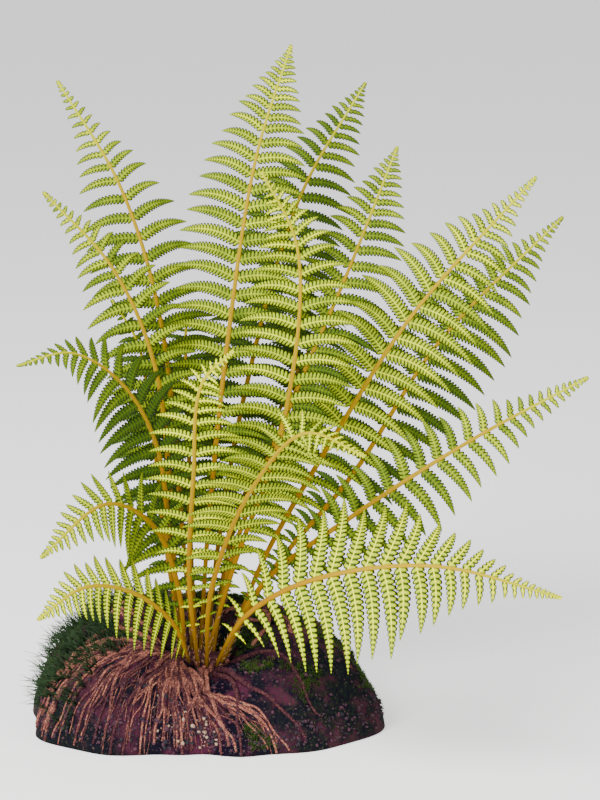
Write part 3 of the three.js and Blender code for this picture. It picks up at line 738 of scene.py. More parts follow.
def add_roots(shape, paths, radii, sides, lift, taper, seed, tones):
    """Adds roots that lie on the soil: tubes along their paths, tapering and a little knotty.
    Each lies with its axis over the soil by the share `lift` of its radius."""
    turn, s = paths
    points, normal = soil_surface(turn, np.minimum(s, 1))
    count, rows = turn.shape
    share = np.linspace(0, 1, rows)[None]
    radius = radii[:, None] * (1 - taper * share)
    radius = radius * (1 + roughness(points, ROOT_LAYERS, 5))
    middles = points + normal * (lift * radius)[..., None]
    middles[..., 2] = np.maximum(middles[..., 2], radius)
    points, faces = lofts(tube_rings(middles, radius, sides))
    tone_seed = seed + 50
    tone = np.repeat(tones + 0.9 * draw(tone_seed + np.arange(count)), rows * sides)
    shape.add(points, faces, 0, tone=tone, out=np.tile(np.repeat(share[0], sides), count))


class Socket:
    """A node's output. An operator between sockets or numbers adds the Math node for it."""

    def __init__(self, finish, output):
        self.finish = finish
        self.output = output

    def maths(self, operation, *operands):
        """The result of a Math node on sockets and numbers."""
        return self.finish.node("ShaderNodeMath", {"operation": operation}, dict(enumerate(operands)))

    def __add__(self, other):
        return self.maths("ADD", self, other)

    def __sub__(self, other):
        return self.maths("SUBTRACT", self, other)

    def __rsub__(self, other):
        return self.maths("SUBTRACT", other, self)

    def __mul__(self, other):
        return self.maths("MULTIPLY", self, other)

    def __abs__(self):
        return self.maths("ABSOLUTE", self)

    def fraction(self):
        """What is left of a value over the whole number below it."""
        return self.maths("FRACT", self)

    __radd__ = __add__
    __rmul__ = __mul__


# Numbers of the colour sockets of a Mix node, whose names occur several times on it.
MIX_FACTOR = 0
MIX_A = 6
MIX_B = 7
MIX_RESULT = 2


def with_alpha(color):
    """A colour of three numbers with the fourth that its socket needs; a node's colour as it is."""
    return color if isinstance(color, Socket) else (*color, 1.0)


class Finish:
    """A material while it is made: its node tree, and the few steps that the finishes here need."""

    def __init__(self, name):
        self.material = bpy.data.materials.new(name)
        self.material.use_nodes = True
        self.tree = self.material.node_tree
        self.tree.nodes.clear()

    def node(self, kind, settings=None, inputs=None, output=0):
        """Adds a node: its settings first, then the values and links of its sockets, which go by
        name or number. Returns the output that is asked for, or none from the last node."""
        node = self.tree.nodes.new(kind)
        for name, value in (settings or {}).items():
            setattr(node, name, value)
        for name, value in (inputs or {}).items():
            if isinstance(value, Socket):
                self.tree.links.new(value.output, node.inputs[name])
            else:
                node.inputs[name].default_value = value
        return Socket(self, node.outputs[output]) if node.outputs else None

    def attribute(self, name):
        """The value of that name at the mesh's points."""
        return self.node("ShaderNodeAttribute", {"attribute_name": name}, output="Fac")

    def place(self):
        """Object coordinates, in metres."""
        return self.node("ShaderNodeTexCoord", output="Object")

    def noise(self, size, detail=3.0, stretch=(1, 1, 1)):
        """Noise on Object coordinates, with features about `size` millimetres across."""
        mapped = self.node("ShaderNodeMapping", inputs={"Vector": self.place(), "Scale": stretch})
        inputs = {"Vector": mapped, "Scale": 1 / (size * MM), "Detail": detail}
        return self.node("ShaderNodeTexNoise", inputs=inputs)

    def between(self, value, low, high):
        """From 0 at `low` to 1 at `high`, smoothly."""
        settings = {"interpolation_type": "SMOOTHSTEP"}
        inputs = {"Value": value, "From Min": low, "From Max": high}
        return self.node("ShaderNodeMapRange", settings, inputs)

    def mix(self, factor, a, b):
        """Colour a where the factor is 0 and b where it is 1."""
        inputs = {MIX_FACTOR: factor, MIX_A: with_alpha(a), MIX_B: with_alpha(b)}
        return self.node("ShaderNodeMix", {"data_type": "RGBA"}, inputs, output=MIX_RESULT)

    def bump(self, height, strength, distance):
        """The normal over a relief of that height, whose steps are `distance` millimetres deep."""
        inputs = {"Height": height, "Strength": strength, "Distance": distance * MM}
        return self.node("ShaderNodeBump", inputs=inputs)

    def shade(self, color, roughness, normal=None, **constants):
        """Ends the material in one Principled shader. Constants go onto its own sockets."""
        inputs = {"Base Color": color, "Roughness": roughness}
        if normal:
            inputs["Normal"] = normal
        inputs.update({name.replace("_", " "): value for name, value in constants.items()})
        shader = self.node("ShaderNodeBsdfPrincipled", inputs=inputs)
        self.node("ShaderNodeOutputMaterial", inputs={"Surface": shader})
        return self.material


def leaflet_finish(settings):
    """Thin living leaf: greens that vary at random by leaflet and spot, and by frond with fronds at
    the back painted in shade; painted highlights in the middles of the lobes, painted shade on the
    half towards the frond's foot and round each lobe, and a pale midrib, stronger on fronds painted lit."""
    finish = Finish("leaflet_green")
    reach = finish.attribute("reach")
    edge = finish.attribute("edge")
    across = finish.attribute("across")
    lobe = finish.attribute("lobe").fraction()
    light = finish.attribute("light")
    out = finish.attribute("out")
    spots = finish.noise(14)
    grain = finish.noise(2.2)

    # The blade's green, from painted shade to lit green, and a paler painted highlight green, both lighter
    # on the fronds painted lit and in random spots.
    lightness = finish.between(light + 0.6 * (spots - 0.5), 0, 1)
    green = finish.mix(lightness, settings.shade_green, settings.leaf_green)
    pale = finish.mix(lightness, settings.leaf_green, settings.lobe_highlight_and_tip_green)

    # Painted shade: the half towards the frond's foot is darker, most on the fronds painted in shade.
    painted_foot_shade = finish.between(across, -0.15, -0.5)
    green = finish.mix(painted_foot_shade * (0.6 - 0.4 * lightness), green, settings.shade_green)

    # The middle of each lobe has a painted highlight, and its outline and the notches between lobes have
    # painted shade.
    lobe_centre = 0.6
    off_centre = abs(lobe - lobe_centre) * 2
    middle = (1 - finish.between(off_centre, 0.25, 0.75)) * (1 - finish.between(edge, 0.75, 0.92))
    green = finish.mix(middle * (0.35 + 0.55 * lightness) + 0.3 * (grain - 0.5), green, pale)
    outline = finish.between(edge, 0.66, 0.95) * 0.85 + finish.between(off_centre, 0.6, 1) * 0.7
    outline = outline * finish.between(reach, 0.4, 1.3)
    green = finish.mix(outline, green, settings.outline_shade_green)

    # The midrib is pale and ends before the leaflet's tip; on the fronds painted lit it is yellow and
    # stronger, on those in painted shade it takes the painted highlight green.
    midrib = (1 - finish.between(reach, 0.25, 0.75)) * (1 - finish.between(out, 0.6, 0.95))
    yellow = finish.mix(finish.between(light, 0.5, 0.95), pale, settings.midrib_yellow)
    color = finish.mix(midrib * (0.35 + 0.6 * lightness), green, yellow)

    # Each lobe is a little raised in its middle.
    normal = finish.bump(grain + 0.6 * (1 - off_centre), 0.35, 0.25)
    return finish.shade(color, 0.6 + 0.15 * grain, normal, Specular_IOR_Level=0.1)


def rib_finish(settings):
    """Golden rib, brown near its foot, yellow higher up and greener near its tip, with fine
    streaks. On fronds painted in shade the rib is painted browner too."""
    finish = Finish("rib_gold")
    out = finish.attribute("out")
    light = finish.attribute("light")
    streaks = finish.noise(1.6, stretch=(1, 1, 0.12))
    gold = finish.mix(finish.between(out, 0.25, 0.75), settings.rib_gold, settings.rib_yellow)
    # Painted shade: the rib is browner on fronds painted darker.
    gold = finish.mix(0.35 + 0.65 * light, settings.stalk_brown_and_rib_shade, gold)
    foot = 1 - finish.between(out, 0.02, 0.24)
    color = finish.mix(foot * 0.8, gold, settings.stalk_brown_and_rib_shade)
    tip = finish.between(out, 0.75, 1)
    color = finish.mix(tip * 0.7, color, settings.lobe_highlight_and_tip_green)
    lines = finish.between(streaks, 0.55, 0.75)
    color = finish.mix(lines * 0.35, color, settings.stalk_brown_and_rib_shade)
    normal = finish.bump(streaks, 0.4, 0.3)
    return finish.shade(color, 0.6 + 0.2 * streaks, normal, Specular_IOR_Level=0.06)


def scale_finish():
    """Dry papery scales, pale brown with darker streaks."""
    finish = Finish("stalk_scale")
    streaks = finish.noise(0.8, stretch=(1, 1, 0.2))
    color = finish.mix(streaks, (0.52, 0.3, 0.14), (0.26, 0.12, 0.06))
    return finish.shade(color, 0.7)


def root_finish(settings):
    """Fibrous root bark: reddish brown, lit and in maroon painted shade by patches, with paler fibres that
    are painted highlights where lit.
    """
    finish = Finish("root_bark")
    tone = finish.attribute("tone")
    patches = finish.noise(9)
    fibres = finish.noise(1.3, detail=5)
    # Lit bark and painted shade lie in patches, shifted by each root's tone.
    lit = finish.between(patches + 0.35 * tone, 0.3, 0.7)
    color = finish.mix(lit, settings.root_shade, settings.root_light)
    # Pale fibres, partly real and partly painted highlight: they show most on the lit patches.
    ridges = finish.between(fibres, 0.47, 0.62)
    color = finish.mix(ridges * (0.15 + 0.6 * lit), color, settings.root_fibre_highlight)
    normal = finish.bump(fibres, 0.9, 0.9)
    return finish.shade(color, 0.62 + 0.25 * fibres, normal, Specular_IOR_Level=0.1)


def soil_finish(settings):
    """Moist peaty soil: purple-black with rusty patches, green film and small pale flecks."""
    finish = Finish("peaty_soil")
    patches = finish.noise(24)
    crumbs = finish.noise(2.6, detail=6)
    flecks = finish.noise(1.1, detail=2)
    speck_size = 4 * MM
    inputs = {"Vector": finish.place(), "Scale": 1 / speck_size}
    specks = finish.node("ShaderNodeTexVoronoi", inputs=inputs)
    color = finish.mix(finish.between(patches, 0.45, 0.62), settings.soil_dark, settings.soil_rust)
    film = finish.attribute("moss")
    color = finish.mix(film * finish.between(crumbs, 0.35, 0.6), color, settings.moss_shade)
    pale = finish.between(crumbs, 0.56, 0.7) * finish.between(flecks, 0.5, 0.62)
    color = finish.mix(pale * (0.85 - 0.4 * film), color, settings.soil_crumb)
    normal = finish.bump(crumbs + 0.5 * specks, 1.0, 2.2)
    return finish.shade(color, 0.75 + 0.2 * crumbs, normal, Specular_IOR_Level=0.07)


def moss_finish(name, low, high):
    """Moss: darker at the foot of each shoot than at its end, varied from patch to patch."""
    finish = Finish(name)
    out = finish.attribute("out")
    patches = finish.noise(18)
    color = finish.mix(finish.between(out + 0.7 * (patches - 0.5), 0, 1.1), low, high)
    return finish.shade(color, 0.6 + 0.2 * patches, Specular_IOR_Level=0.08)


def crumb_finish(name, low, high):
    """Crumbs of one colour family, mottled."""
    finish = Finish(name)
    mottle = finish.noise(2.5, detail=4)
    tone = finish.attribute("tone")
    color = finish.mix(finish.between(mottle + 0.3 * tone, 0.3, 0.7), low, high)
    return finish.shade(color, 0.75 + 0.15 * mottle, finish.bump(mottle, 0.7, 0.8))


def plain_finish(name, color, glow):
    """A matt surface that a faint noise keeps from looking flat, with a faint even glow."""
    finish = Finish(name)
    cloud = finish.noise(900)
    clouded = 0.97
    tone = finish.mix(cloud, color, [clouded * part for part in color])
    return finish.shade(tone, 0.85, Emission_Color=with_alpha(color), Emission_Strength=glow)


def soil_spots(rng, count, turn_range, s_range):
    """Random spots on the rough soil, even over the plan, in a range of directions in degrees and
    of shares of the way to the edge: points, outward directions there, and directions in the plan."""
    turn = np.radians(rng.uniform(*turn_range, count))
    low, high = s_range
    s = np.sqrt(rng.uniform(low**2, high**2, count))
    points, normal = soil_surface(turn, s)
    return points, normal, turn


def random_directions(rng, count):
    """Directions that are spread evenly over a ball."""
    return unit(rng.normal(size=(count, 3)))


def icosahedron():
    """The twelve corners of an icosahedron of radius one, which are those of three rectangles of
    the golden ratio, and its faces: three corners next to each other, seen turning to the left."""
    golden = (1 + 5**0.5) / 2
    signs = [(a, b) for a in (-1, 1) for b in (-1, 1)]
    flat = [[a, b * golden, 0] for a, b in signs]
    upright = [[0, a, b * golden] for a, b in signs]
    sideways = [[b * golden, 0, a] for a, b in signs]
    corners = unit(np.array(flat + upright + sideways))
    edge = 1.1
    near = np.linalg.norm(corners[:, None] - corners[None], axis=-1) < edge
    faces = []
    for i, j, k in np.ndindex(12, 12, 12):
        if i < min(j, k) and near[i, j] and near[j, k] and near[k, i]:
            facing = np.cross(corners[j] - corners[i], corners[k] - corners[i])
            if np.dot(facing, corners[i]) > 0:
                faces.append((i, j, k))
    return corners, np.array(faces)


def color_property(name, description, default):
    """A colour that a user can change."""
    return bpy.props.FloatVectorProperty(
        name=name,
        description=description,
        default=default,
        subtype="COLOR",
    )


def count_property(name, description, default):
    """A number of small things that a user can change."""
    return bpy.props.IntProperty(name=name, description=description, default=default, min=0)


class FernFrondSettings(bpy.types.PropertyGroup):
    """Sizes and colours of the fronds."""

    lobe_length: bpy.props.FloatProperty(
        name="Lobe length",
        description="How much of a leaflet's midrib one lobe takes, on average",
        default=2.7 * MM,
        min=1.5 * MM,
        max=8 * MM,
        unit="LENGTH",
    )
    lobe_cut: bpy.props.FloatProperty(
        name="Lobe cut",
        description="How deep the leaflets are cut between lobes, as a share of their half width",
        default=0.4,
        min=0.0,
        max=0.9,
        subtype="FACTOR",
    )
    leaflet_arch: bpy.props.FloatProperty(
        name="Leaflet arch",
        description="How much more than the solids' a leaflet rises and bends back",
        default=0.04,
        min=0.0,
        max=0.4,
        subtype="FACTOR",
    )
    leaf_green: color_property("Leaf green", "Blade in the light", (0.078, 0.135, 0.002))
    # Painted shade: the blade of the fronds at the back, and of each leaflet's half towards the foot.
    shade_green: color_property("Shade green", "Blade of the fronds at the back", (0.026, 0.058, 0.004))
    # Painted shade round the lobes and along the leaflets' edges.
    outline_shade_green: color_property("Deep green", "Blade between the lobes", (0.007, 0.02, 0.003))
    # Painted highlight in the middles of the lobes; also the green of a rib's tip.
    lobe_highlight_and_tip_green: color_property("Lobe green", "Middles of the lobes", (0.5, 0.585, 0.001))
    midrib_yellow: color_property("Midrib yellow", "Midrib of a leaflet", (0.9, 0.88, 0.002))
    rib_gold: color_property("Rib gold", "Rib of a frond", (0.3, 0.15, 0.0005))
    rib_yellow: color_property("Rib yellow", "Upper part of a frond's rib", (0.4, 0.27, 0.0003))
    stalk_brown_and_rib_shade: color_property("Stalk brown", "Foot of the stalks", (0.13, 0.062, 0.003))


class FernGroundSettings(bpy.types.PropertyGroup):
    """Colours and counts of roots, soil and moss."""

    rootlets: count_property("Rootlets", "Fine roots on the soil", 120)
    crumbs: count_property("Crumbs", "Loose crumbs all over the soil; its foot has half as many more", 1300)
    moss_shoots: count_property("Moss shoots", "Stars of low moss", 5200)
    hair_moss_shoots: count_property("Hair-moss shoots", "Tufts of long spiky moss", 420)
    # Painted shade on the bark, in patches.
    root_shade: color_property("Root dark", "Root bark in its cracks", (0.03, 0.006, 0.014))
    root_light: color_property("Root light", "Root bark", (0.16, 0.05, 0.04))
    # Pale fibres, brightest as painted highlights on the lit bark.
    root_fibre_highlight: color_property("Root pale", "Fibres on the bark", (0.46, 0.205, 0.125))
    soil_dark: color_property("Soil dark", "Moist soil", (0.004, 0.0018, 0.009))
    soil_rust: color_property("Soil rust", "Rusty patches", (0.055, 0.01, 0.026))
    soil_crumb: color_property("Soil crumb", "Dry crumbs", (0.17, 0.085, 0.09))
    moss_shade: color_property("Moss shade", "Foot of the moss", (0.007, 0.018, 0.006))
    moss_light: color_property("Moss light", "Ends of the low moss", (0.055, 0.1, 0.012))
    hair_moss: color_property("Hair-moss", "Ends of the long moss", (0.034, 0.066, 0.026))


class FernStageSettings(bpy.types.PropertyGroup):
    """Floor, light and camera."""

    floor_color: color_property("Floor", "Colour of the floor", (0.88, 0.88, 0.87))
    floor_glow: bpy.props.FloatProperty(
        name="Floor glow",
        description="Keeps the floor white behind the fern",
        default=0.75,
        min=0,
    )
    sky: bpy.props.FloatProperty(
        name="Sky",
        description="Strength of the even light",
        default=0.58,
        min=0,
    )
    key_light: bpy.props.FloatProperty(
        name="Key light",
        description="Power of the large light at the upper left",
        default=220,
        min=0,
        unit="POWER",
    )
    fill_light: bpy.props.FloatProperty(
        name="Fill light",
        description="Power of the large light at the right",
        default=30,
        min=0,
        unit="POWER",
    )
    elevation: bpy.props.FloatProperty(
        name="Elevation",
        description="How far the camera looks down",
        default=math.radians(12),
        subtype="ANGLE",
    )
    distance: bpy.props.FloatProperty(
        name="Distance",
        description="From the camera to the middle of the view",
        default=2.5,
        min=0.5,
        unit="LENGTH",
    )
    view_height: bpy.props.FloatProperty(
        name="View height",
        description="What the picture's height shows",
        default=0.72,
        min=0.1,
        unit="LENGTH",
    )


class FERN_OT_fronds(bpy.types.Operator):
    """Grow the fronds: ribs, lobed leaflets and stalk scales, one piece for each frond"""

    bl_idname = "fern.fronds"
    bl_label = "Fronds"

    def execute(self, context):
        settings = context.scene.fern_fronds
        lobe_length = settings.lobe_length / MM
        materials = [leaflet_finish(settings), rib_finish(settings), scale_finish()]
        for number, (name, frond) in enumerate(FRONDS.items(), start=1):
            shape = Shape()
            add_leaflets(shape, frond, number, lobe_length, settings.leaflet_arch, settings.lobe_cut)
            add_rib(shape, frond)
            add_scales(shape, frond, number)
            piece = shape.to_object("fine_" + name, materials)
            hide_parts(name)
        return {"FINISHED"}


class FERN_OT_rootstock(bpy.types.Operator):
    """Shape the rootstock: its lumpy dome, stumps of old stalks, main roots and rootlets"""

    bl_idname = "fern.rootstock"
    bl_label = "Rootstock and roots"

    def execute(self, context):
        settings = context.scene.fern_ground
        shape = Shape()
        self.add_dome(shape)
        self.add_stumps(shape)
        turns = np.radians(ROOTS[:, 0])
        starts = ROOT_START / clod_radius(turns)
        sways = np.radians(ROOTS[:, 1])
        paths = swaying_paths(turns, sways, starts, ROOTS[:, 2], rows=64, wiggle=0.012, seed=10)
        # The main roots towards the right front get a low tone: more of them is painted in shade.
        dark_from = math.radians(290)
        tones = np.where(turns > dark_from, -1.2, 0)
        add_roots(shape, paths, ROOTS[:, 3], 9, ROOT_LIFT, ROOT_TAPER, seed=10, tones=tones)
        self.add_side_roots(shape)
        piece = shape.to_object("fine_rootstock", [root_finish(settings)])
        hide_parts("rootstock")
        rootlets = Shape()
        self.add_rootlets(rootlets, settings.rootlets)
        rootlets.to_object("fine_rootlets", [root_finish(settings)])
        return {"FINISHED"}

    def add_dome(self, shape):
        """A flattened ball with lumps round its waist and noise on its surface."""
        rows, sides = 40, 64
        pole, lump = 0.02, 0.06
        middle = STOCK_TOP - STOCK_DEPTH / 2
        fall = np.linspace(pole, np.pi - pole, rows)[:, None]
        turn = (2 * np.pi * np.arange(sides) / sides)[None]
        lumps = 1 + lump * np.sin(STOCK_LUMPS * turn) * np.sin(fall) ** 2
        across = STOCK_RADIUS * lumps * np.sin(fall)
        rings = around(turn, across, middle - np.cos(fall) * STOCK_DEPTH / 2)
        bulge = roughness(rings, DOME_LAYERS, 7)
        rings = rings + unit(rings - np.array([0, 0, middle])) * bulge[..., None]
        points, faces = lofts(rings[None])
        # A low tone: more of the dome is painted in shade.
        shape.add(points, faces, 0, tone=-0.6, out=0)

    def add_stumps(self, shape):
        """Bases of old stalks: the solids' ring of them, and two smaller ones between each pair,
        cut off at uneven heights."""
        rows, sides = 9, 8
        k = np.arange(3 * STUMPS)
        turn = 2 * np.pi * (k / 3 + 0.5) / STUMPS
        main = k % 3 == 0
        main_top = STOCK_TOP - 3 + 3 * draw(k // 3)
        other_top = STOCK_TOP - 7 + 4 * draw(k + 60)
        foot = around(turn, STOCK_RADIUS - 8, STOCK_TOP - 20)
        out = STOCK_RADIUS + 1.5 * main - 1.5
        head = around(turn + 0.06 * draw(k + 30), out, np.where(main, main_top, other_top))
        share = np.linspace(0, 1, rows)[None, :, None]
        paths = foot[:, None] + (head - foot)[:, None] * share
        small_radius = 0.7 * STUMP_RADIUS
        radius = np.where(main, STUMP_RADIUS, small_radius)[:, None]
        radius = radius * (1 - 0.25 * share[..., 0]) * (1 + 0.15 * noise(paths, 2.5, 9))
        points, faces = lofts(tube_rings(paths, radius, sides))
        shape.add(points, faces, 0, tone=np.repeat(draw(k + 90), rows * sides), out=1)

    def add_side_roots(self, shape):
        """Thinner roots that fan out from the knot, most of them to the left."""
        rng = np.random.default_rng(SIDE_ROOT_SEED)
        count, seed = 80, 200
        turns = np.radians(184 + 134 * rng.random(count) ** 1.8)
        starts = 0.25 * rng.random(count) ** 1.5
        reaches = np.minimum(1, starts + rng.uniform(0.6, 1.4, count))
        radii = rng.uniform(0.9, 2.3, count)
        paths = straight_paths(turns, starts, reaches, rows=40, wiggle=1.6, seed=seed)
        tones = np.full(count, -0.1)
        add_roots(shape, paths, radii, sides=6, lift=0.5, taper=0.45, seed=seed, tones=tones)

    def add_rootlets(self, shape, count):
        """Hair-thin roots along the others, more crooked."""
        rng = np.random.default_rng(ROOTLET_SEED)
        seed = 900
        turns = np.radians(184 + 130 * rng.random(count) ** 1.3)
        starts = rng.uniform(0.1, 0.75, count)
        reaches = np.minimum(1, starts + rng.uniform(0.2, 0.5, count))
        radii = rng.uniform(0.35, 0.8, count)
        paths = straight_paths(turns, starts, reaches, rows=26, wiggle=2.6, seed=seed)
        tones = np.full(count, 0.2)
        add_roots(shape, paths, radii, sides=4, lift=0.7, taper=0.5, seed=seed, tones=tones)


class FERN_OT_soil(bpy.types.Operator):
    """Shape the clod of soil: its rough skin with a flat foot, and its loose crumbs"""

    bl_idname = "fern.soil"
    bl_label = "Soil"

    def execute(self, context):
        settings = context.scene.fern_ground
        shape = Shape()
        self.add_clod(shape)
        piece = shape.to_object("fine_soil_clod", [soil_finish(settings)])
        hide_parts("soil_clod")
        crumbs = Shape()
        rng = np.random.default_rng(CRUMB_SEED)
        count = settings.crumbs
        self.add_crumbs(crumbs, rng, count, (0, 360), (0.3, 0.985), sizes=(0.9, 2.6), slot=0)
        self.add_crumbs(crumbs, rng, count // 2, (175, 365), (0.9, 0.995), sizes=(0.9, 2.6), slot=0)
        self.add_crumbs(crumbs, rng, count // 16, (238, 286), (0.8, 0.99), sizes=(1.0, 2.8), slot=1)
        dark = crumb_finish("dark_crumbs", settings.soil_dark, settings.soil_rust)
        cream = crumb_finish("cream_crumbs", (0.08, 0.035, 0.03), (0.36, 0.24, 0.16))
        crumbs.to_object("fine_crumbs", [dark, cream])
        return {"FINISHED"}

    def add_clod(self, shape):
        """The clod's skin, row by row from the middle of its flat underside round the edge to the
        top. Its film of moss is full at the back and thinner to the left and right."""
        sides, rows, inner = 400, 130, 0.02
        turn = (2 * np.pi * np.arange(sides) / sides)[None]
        s = (np.linspace(inner, 1, rows) ** 0.85)[::-1, None]
        skin, _ = soil_surface(turn, s)
        under = around(turn, clod_radius(turn) * inner, np.zeros_like(turn))
        rings = np.concatenate([under, skin])
        points, faces = lofts(rings[None])
        x, y = rings[..., 0], rings[..., 1]
        left = np.clip(-x / 120, 0, 1)
        back = np.clip((y + 10) / 60, 0, 1)
        right = np.clip((x - 20) / 80, 0, 1)
        film = np.maximum(np.maximum(0.5 * left, 0.6 * right), back)
        shape.add(points, faces, 0, moss=film.ravel())

    def add_crumbs(self, shape, rng, count, turns, shares, sizes, slot):
        """Crumbs: icosahedra, whose corners are each pulled in or out, stretched along the axes."""
        centres, normal, _ = soil_spots(rng, count, turns, shares)
        corners, faces = icosahedron()
        size = rng.uniform(*sizes, (count, 1, 1)) * rng.uniform(0.45, 1, (count, 1, 1))
        pulls = rng.uniform(0.65, 1.2, (count, len(corners), 1)) * rng.uniform(0.7, 1.2, (count, 1, 3))
        points = centres[:, None] + normal[:, None] * 0.3 * size + corners[None] * pulls * size
        points[..., 2] = np.maximum(points[..., 2], 0.05)
        first = len(corners) * np.arange(count)[:, None, None]
        tone = np.repeat(rng.uniform(-1, 1, count), len(corners))
        shape.add(points.reshape(-1, 3), [(first + faces).reshape(-1, 3)], slot, tone=tone)


class FERN_OT_moss(bpy.types.Operator):
    """Grow the moss: spiky hair-moss on the left, low moss on the back, left and right"""

    bl_idname = "fern.moss"
    bl_label = "Moss"

    def execute(self, context):
        settings = context.scene.fern_ground
        rng = np.random.default_rng(MOSS_SEED)
        hair = Shape()
        self.add_hair_moss(hair, rng, settings.hair_moss_shoots)
        material = moss_finish("hair_moss", settings.moss_shade, settings.hair_moss)
        hair.to_object("fine_hair_moss", [material])
        low = Shape()
        self.add_low_moss(low, rng, settings.moss_shoots)
        material = moss_finish("low_moss", settings.moss_shade, settings.moss_light)
        low.to_object("fine_low_moss", [material])
        return {"FINISHED"}

    def add_hair_moss(self, shape, rng, count):
        """Tufts of long, thin, bent needles that lean outwards and up, paler at their ends."""
        roots, normal, turn = soil_spots(rng, count, (128, 208), (0.5, 0.97))
        needles, rows, sides = 5, 5, 3
        total = count * needles
        foot_radius, radius_loss = 0.5, 0.38
        outward = around(turn, 1.0, 0.0)
        lean = normal + 0.5 * outward + UP * rng.uniform(0.2, 1.0, count)[:, None]
        lean = unit(np.repeat(lean, needles, axis=0) + 0.75 * random_directions(rng, total))
        length = rng.uniform(9, 22, total)[:, None, None]
        share = np.linspace(0, 1, rows)[None, :, None]
        bend = 0.3 * random_directions(rng, total) - 0.1 * UP
        base = np.repeat(roots, needles, axis=0)
        paths = base[:, None] + length * (lean[:, None] * share + bend[:, None] * share**2)
        paths[..., 2] = np.maximum(paths[..., 2], foot_radius)
        radius = np.broadcast_to(foot_radius - radius_loss * share[..., 0], paths.shape[:2])
        points, faces = lofts(tube_rings(paths, radius, sides))
        shape.add(points, faces, 0, out=np.tile(np.repeat(share.ravel(), sides), total))

    def add_low_moss(self, shape, rng, count):
        """Little stars of five short blades. Of twice as many spots, the half with the most moss is
        kept: by patches of noise, and more towards the back."""
        roots, normal, _ = soil_spots(rng, 2 * count, (-62, 215), (0.2, 0.985))
        patches = 1.2 * noise(roots, 26, 11)
        towards_back = np.clip(roots[:, 1] / 80, -0.1, 1.2)
        keep = np.argsort(-(patches + towards_back + 0.5 * rng.random(len(roots))))[:count]
        roots, normal = roots[keep], normal[keep]
        blade_count = 5
        spin = 2 * np.pi * np.arange(blade_count)[None] / blade_count
        spin = spin + rng.uniform(0, 6, count)[:, None]
        side = unit(np.cross(normal, np.array([0.3, -0.7, 0.2])))[:, None]
        other = np.cross(normal[:, None], side)
        directions = side * np.cos(spin)[..., None] + other * np.sin(spin)[..., None]
        directions = directions * rng.uniform(0.4, 1.0, (count, 1, 1))
        directions = directions + normal[:, None] * rng.uniform(0.7, 1.3, (count, 1, 1))
        flats = np.cross(directions, np.broadcast_to(normal[:, None], directions.shape))
        lengths = np.repeat(rng.uniform(2.2, 5.5, count), blade_count)
        starts = np.repeat(roots - 0.5 * normal, blade_count, axis=0)
        directions, flats = directions.reshape(-1, 3), flats.reshape(-1, 3)
        points, faces = blades(starts, directions, flats, lengths, 0.28 * lengths)
        shape.add(points, faces, 0, out=np.tile([0, 0, 0, 1], count * blade_count))


class FERN_OT_bark(bpy.types.Operator):
    """Lay strips of old bark and wood on the ridge of the clod"""

    bl_idname = "fern.bark"
    bl_label = "Bark strips"

    def execute(self, context):
        settings = context.scene.fern_ground
        rng = np.random.default_rng(BARK_SEED)
        right, left = 11, 5
        count, rows, sides = right + left, 30, 8
        middle = [rng.uniform(8, 55, right), rng.uniform(110, 170, left)]
        middle = np.radians(np.concatenate(middle))
        s = np.concatenate([rng.uniform(0.35, 0.75, right), rng.uniform(0.4, 0.7, left)])
        share = np.linspace(-1, 1, rows)[None]
        turn = middle[:, None] + share * rng.uniform(0.16, 0.36, count)[:, None]
        slant = 0.1 * share * rng.uniform(-1, 1, count)[:, None]
        way = s[:, None] + slant + 0.02 * np.sin(3 * share)
        points, normal = soil_surface(turn, way)
        radius = rng.uniform(1.6, 3.4, count)[:, None] * (1 - 0.5 * share**4)
        radius = radius * (1 + 0.2 * noise(points, 6, 12))
        middles = points + normal * (0.4 * radius)[..., None]
        points, faces = lofts(tube_rings(middles, radius, sides, flat=0.55))
        tone = np.repeat(draw(np.arange(count) + 700), rows * sides)
        shape = Shape()
        shape.add(points, faces, 0, tone=tone, out=0)
        shape.to_object("fine_bark_strips", [root_finish(settings)])
        return {"FINISHED"}


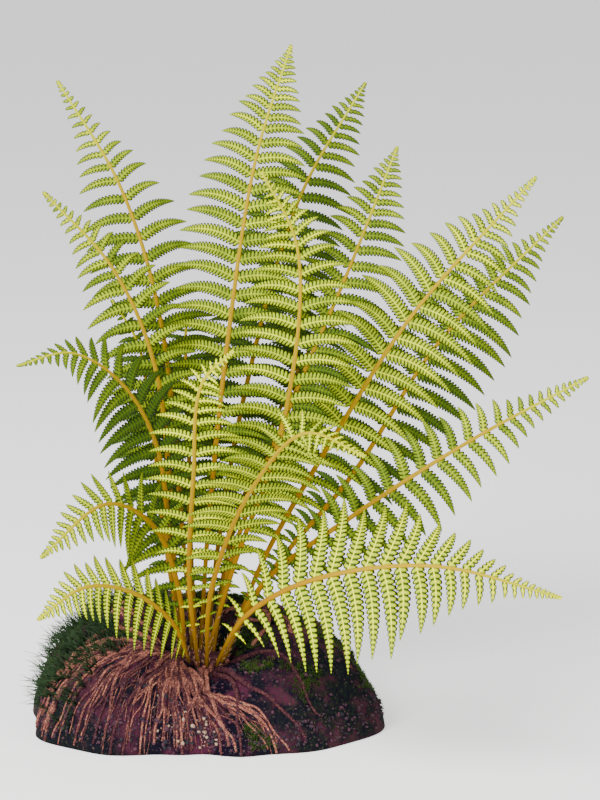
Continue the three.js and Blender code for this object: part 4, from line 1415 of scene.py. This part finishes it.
class FERN_OT_stage(bpy.types.Operator):
    """Set the pale floor, the soft light and the camera"""

    bl_idname = "fern.stage"
    bl_label = "Stage"

    def execute(self, context):
        settings = context.scene.fern_stage
        self.add_floor(settings)
        self.light_world(settings)
        self.add_light("key_light", settings.key_light, size=1.6, place=Vector((-1.3, -1.9, 2.3)))
        self.add_light("fill_light", settings.fill_light, size=1.8, place=Vector((2.2, -1.2, 1.2)))
        self.add_camera(settings)
        return {"FINISHED"}

    def add_floor(self, settings):
        """A wide floor just under the fern."""
        mesh = bpy.data.meshes.new("stage_floor")
        half, floor_z = 40.0, -0.0004
        signs = ((-1, -1), (1, -1), (1, 1), (-1, 1))
        mesh.from_pydata([(x * half, y * half, floor_z) for x, y in signs], [], [(0, 1, 2, 3)])
        mesh.materials.append(plain_finish("pale_floor", settings.floor_color, settings.floor_glow))
        floor = bpy.data.objects.new("stage_floor", mesh)
        bpy.context.scene.collection.objects.link(floor)

    def light_world(self, settings):
        """Even light from all sides, a little blue."""
        world = bpy.data.worlds.new("even_light")
        world.use_nodes = True
        background = world.node_tree.nodes["Background"]
        background.inputs["Color"].default_value = (0.97, 0.98, 1.0, 1.0)
        background.inputs["Strength"].default_value = settings.sky
        bpy.context.scene.world = world

    def add_camera(self, settings):
        """The camera, whose picture shows the view height at the middle of the view."""
        camera = bpy.data.objects.new("camera", bpy.data.cameras.new("camera"))
        camera.data.sensor_fit = "VERTICAL"
        camera.data.sensor_height = 24
        camera.data.lens = camera.data.sensor_height * settings.distance / settings.view_height
        back = Vector((0, -math.cos(settings.elevation), math.sin(settings.elevation)))
        camera.location = VIEW_MIDDLE + back * settings.distance
        camera.rotation_euler = (-back).to_track_quat("-Z", "Y").to_euler()
        camera.data.clip_end = 100
        bpy.context.scene.collection.objects.link(camera)
        bpy.context.scene.camera = camera

    def add_light(self, name, power, size, place):
        """Adds a square lamp that faces the middle of the view."""
        light = bpy.data.lights.new(name, "AREA")
        light.energy = power
        light.size = size
        lamp = bpy.data.objects.new(name, light)
        lamp.location = place
        lamp.rotation_euler = (VIEW_MIDDLE - place).to_track_quat("-Z", "Y").to_euler()
        bpy.context.scene.collection.objects.link(lamp)


class FERN_PT_panel(bpy.types.Panel):
    """Lists the fern's settings and the steps that build it"""

    bl_idname = "FERN_PT_panel"
    bl_label = "Lemon-scented fern"
    bl_space_type = "VIEW_3D"
    bl_region_type = "UI"
    bl_category = "Fern"

    def draw(self, context):
        for group in (context.scene.fern_fronds, context.scene.fern_ground, context.scene.fern_stage):
            box = self.layout.box()
            for name in group.__annotations__:
                box.prop(group, name)
        for step in STEPS:
            self.layout.operator(step.bl_idname)


STEPS = (FERN_OT_fronds, FERN_OT_rootstock, FERN_OT_soil, FERN_OT_moss, FERN_OT_bark, FERN_OT_stage)
GROUPS = {
    "fern_fronds": FernFrondSettings,
    "fern_ground": FernGroundSettings,
    "fern_stage": FernStageSettings,
}


def register():
    for group in (*GROUPS.values(), *STEPS, FERN_PT_panel):
        bpy.utils.register_class(group)
    for name, group in GROUPS.items():
        setattr(bpy.types.Scene, name, bpy.props.PointerProperty(type=group))


def unregister():
    for name in GROUPS:
        delattr(bpy.types.Scene, name)
    for group in reversed((*GROUPS.values(), *STEPS, FERN_PT_panel)):
        bpy.utils.unregister_class(group)


def main():
    register()
    bpy.ops.fern.fronds()
    bpy.ops.fern.rootstock()
    bpy.ops.fern.soil()
    bpy.ops.fern.moss()
    bpy.ops.fern.bark()
    bpy.ops.fern.stage()
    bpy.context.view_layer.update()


if __name__ == "__main__":
    main()
